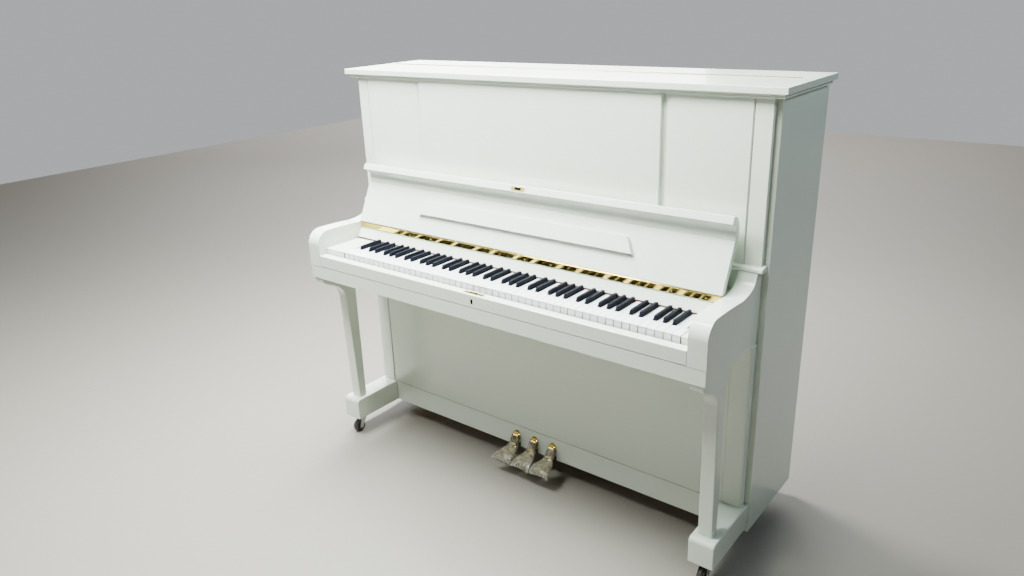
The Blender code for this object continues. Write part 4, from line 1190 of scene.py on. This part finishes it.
# %% Soundboard ribs
_, board_high = corners("soundboard")
refinish("soundboard", SPRUCE)
RIB_WIDE, RIB_DEEP, RIB_LEAN = 0.022, 0.016, 32
RIBS_IN_BAY, RIB_START, RIB_STEP = 6, 0.270, 0.155
ribs = []
for number in range(POSTS - 1):
    x0 = -frame_half + POST + number * (POST + bay)
    for z in (RIB_START + step_up * RIB_STEP for step_up in range(RIBS_IN_BAY)):
        rib = block((-0.5, board_high.y, -RIB_WIDE / 2), (0.5, board_high.y + RIB_DEEP, RIB_WIDE / 2),
                    0.0025, 2)
        move(turn_about(rib, "Y", RIB_LEAN), (x0 + bay / 2, 0, z))
        for edge_x, way in ((x0 - 0.001, -1), (x0 + bay + 0.001, 1)):
            cut = bmesh.ops.bisect_plane(rib, geom=rib.verts[:] + rib.edges[:] + rib.faces[:],
                                         plane_co=(edge_x, 0, 0), plane_no=(way, 0, 0), clear_outer=True)
            rim = [edge for edge in cut["geom_cut"] if isinstance(edge, bmesh.types.BMEdge)]
            bmesh.ops.holes_fill(rib, edges=rim)
        ribs.append(rib)
hang("soundboard_ribs", together(ribs), SPRUCE)
refinish("bottom_board", RAIL_WOOD)
print(len(ribs), "ribs across the soundboard")

# %% [markdown]
# ## Plate, strings and action
#
# With the lid folded back one looks down on the works: the bronze plate with its struts, a block of tuning
# pins, the strings and the row of hammers and dampers. Hundreds of repeats stay simple, with only a few
# faces each. The lowest notes have one string, the next ones two, and the others three.

# %% Plate and tuning pins
refinish("iron_plate", PLATE_PAINT)
p_low, _ = corners("iron_plate")
struts = [block((x - 0.009, p_low.y - 0.012, 0.180), (x + 0.009, p_low.y + 0.002, 1.050), 0.004, 3)
          for x in (-0.655, -0.470, -0.235, 0.020, 0.330, 0.655)]
struts.append(block((-0.675, p_low.y - 0.009, 1.040), (0.675, p_low.y + 0.002, 1.058), 0.004, 3))
hang("plate_struts", together(struts), PLATE_PAINT)
NOTES, SINGLES_END, PAIRS_END, NOTE_SPAN = 88, 10, 28, 1.256
NOTE_X = [note * NOTE_SPAN / (NOTES - 1) - NOTE_SPAN / 2 for note in range(NOTES)]
STRING_Y, STRING_STEP = p_low.y - 0.0135, 0.0044
pins, wires = [], []
for note, x in enumerate(NOTE_X):
    strings_here, thick = ((1, 0.0016) if note < SINGLES_END else (2, 0.0011) if note < PAIRS_END
                           else (3, 0.0005))
    foot_z = 0.200 + 0.55 * max(0.0, (note - PAIRS_END) / 60) ** 1.4
    for number in range(strings_here):
        pin_x = x + (number - (strings_here - 1) / 2) * STRING_STEP
        pin_z = 1.120 + 0.026 * number + 0.010 * (note % 2)
        pins.append(rod((pin_x, p_low.y - 0.010, pin_z), "Y", 0.0033, 0.026, 8))
        wires.append(rod((pin_x, STRING_Y, (pin_z + foot_z) / 2), "Z", thick, pin_z - foot_z, 5))
hang("tuning_pins", together(pins), NICKEL)
hang("piano_strings", together(wires), WIRE, instead_of=["strings"])
print(len(pins), "tuning pins and as many strings")

# %% Hammers, dampers and rails
a_low, a_high = corners("action")
ACTION_RAILS = [  # half length, front, floor, back and top
    (0.650, 0.070, 0.940, 0.100, 0.970), (0.655, 0.090, 0.979, 0.114, 1.005),
    (0.655, 0.055, 0.815, 0.095, 0.845)]
rails = [block((-half_run, front, floor_z), (half_run, back_y, top), 0.002)
         for half_run, front, floor_z, back_y, top in ACTION_RAILS]
hang("action_rails", together(rails), RAIL_WOOD, instead_of=["action"])
side_view = [(0.055, a_low.z), (0.115, a_low.z), (0.108, 0.90), (0.115, a_high.z), (0.070, a_high.z),
             (0.062, 0.90)]
brackets = [bar(side_view, "X", x - 0.006, x + 0.006, 0.0015, 2) for x in (-0.640, -0.220, 0.200, 0.640)]
hang("action_brackets", together(brackets), PLATE_PAINT)
HEAD_Y, HEAD_Z, HEAD_HALF, DAMPED_NOTES = 0.125, 1.058, 0.0052, 66
heads, shanks, dampers = [], [], []
for note, x in enumerate(NOTE_X):
    size = 1.0 - 0.35 * note / NOTES
    egg = [(0.112, HEAD_Z - 0.006), (0.112, HEAD_Z + 0.006)]
    egg += [(HEAD_Y + out * size, HEAD_Z + up * size) for out, up in (
        (0.0, 0.012), (0.016, 0.007), (0.020, 0.0), (0.016, -0.007), (0.0, -0.012))]
    heads.append(bar(egg, "X", x - HEAD_HALF, x + HEAD_HALF))
    shanks.append(rod((x, 0.104, 1.012), "Z", 0.0027, 0.098, 6))
    if note < DAMPED_NOTES:
        dampers.append(block((x - 0.0045, 0.146, 0.985), (x + 0.0045, 0.158, 1.025), 0.001, 1))
hang("hammer_heads", together(heads), HAMMER_FELT)
hang("hammer_shanks", together(shanks), RAIL_WOOD)
hang("damper_blocks", together(dampers), HAMMER_FELT)
print(len(heads), "hammers and", len(dampers), "dampers")

# %% [markdown]
# ## Floor, light and camera
#
# A plain floor and six soft lights. A strong one under the ceiling on the left does most of the work, and a
# very large one stands for the room behind, which the gloss mirrors. A bright wall behind, a lamp over the
# treble keys, a soft light in front and a cool one on the right fill in. The sky lights almost nothing, and
# the camera sees a paler backdrop in its place.

# %% Floor
floor_shape = bmesh.new()
bmesh.ops.create_grid(floor_shape, x_segments=1, y_segments=1, size=7.0)
floor_mesh = bpy.data.meshes.new("studio_floor")
floor_shape.to_mesh(floor_mesh)
floor_shape.free()
floor = new_object("studio_floor", floor_mesh)
floor_paint = bpy.data.materials.new("pale_floor")
floor_paint.use_nodes = True
paint = floor_paint.node_tree.nodes["Principled BSDF"]
paint.inputs["Base Color"].default_value = (0.25, 0.235, 0.21, 1.0)
paint.inputs["Roughness"].default_value = 0.55
floor_mesh.materials.append(floor_paint)
print("floor:", floor.name)


# %% Lights
def soft_light(name, place, aim, size, power, colour):
    data = bpy.data.lights.new(name, "AREA")
    data.shape, data.size, data.size_y = "RECTANGLE", size[0], size[1]
    data.energy, data.color = power, colour
    light = new_object(name, data)
    light.location = place
    light.rotation_euler = (Vector(aim) - Vector(place)).to_track_quat("-Z", "Y").to_euler()


LIGHTS = [  # name, place, aim, size, power and colour
    ("ceiling", (-0.75, -0.18, 2.40), (-0.60, -0.18, 0.6), (2.3, 0.7), 440.0, (0.96, 1.0, 0.95)),
    ("bright_wall", (-3.4, 4.0, 2.6), (-0.2, 0.2, 1.2), (4.0, 1.6), 130.0, (0.94, 0.98, 1.0)),
    ("near_lamp", (0.42, -0.55, 2.10), (0.60, -0.25, 0.85), (0.5, 0.4), 36.0, (0.96, 1.0, 0.95)),
    ("front_left", (-2.6, -3.2, 2.6), (-0.1, 0.0, 0.8), (1.6, 1.2), 17.0, (0.97, 1.0, 0.97)),
    ("side_window", (2.0, 0.4, 2.2), (0.8, 0.2, 1.3), (0.5, 0.5), 15.0, (0.74, 0.90, 1.0)),
    ("room_beyond", (-6.0, 7.5, 4.2), (-6.0, 7.5, 0.0), (13.0, 8.0), 1300.0, (1.0, 0.99, 0.97))]
for light in LIGHTS:
    soft_light(*light)
world = bpy.data.worlds.new("pale_room")
bpy.context.scene.world = world
world.use_nodes = True
sky = world.node_tree
sky.nodes["Background"].inputs["Color"].default_value = (0.80, 0.86, 0.90, 1.0)
sky.nodes["Background"].inputs["Strength"].default_value = 0.03
backdrop, choice = sky.nodes.new("ShaderNodeBackground"), sky.nodes.new("ShaderNodeMixShader")
backdrop.inputs["Color"].default_value = (0.60, 0.62, 0.64, 1.0)
backdrop.inputs["Strength"].default_value = 0.8
sky.links.new(sky.nodes.new("ShaderNodeLightPath").outputs["Is Camera Ray"], choice.inputs[0])
sky.links.new(sky.nodes["Background"].outputs[0], choice.inputs[1])
sky.links.new(backdrop.outputs[0], choice.inputs[2])
sky.links.new(choice.outputs[0], sky.nodes["World Output"].inputs["Surface"])
print("lights:", len(LIGHTS), "and a pale backdrop")

# %% Camera
EYE, YAW, PITCH_DOWN, ROLL = Vector((1.4145, -1.8863, 1.5375)), 38.9, 20.5, -2.1
camera_data = bpy.data.cameras.new("room_camera")
camera_data.lens, camera_data.sensor_width = 27.76, 36.0
camera = new_object("room_camera", camera_data)
camera.matrix_world = Matrix.Translation(EYE)
for degrees, axis in ((YAW, "Z"), (90 - PITCH_DOWN, "X"), (ROLL, "Z")):
    camera.matrix_world = camera.matrix_world @ Matrix.Rotation(math.radians(degrees), 4, axis)
bpy.context.scene.camera = camera
print("camera at", [round(v, 3) for v in EYE])
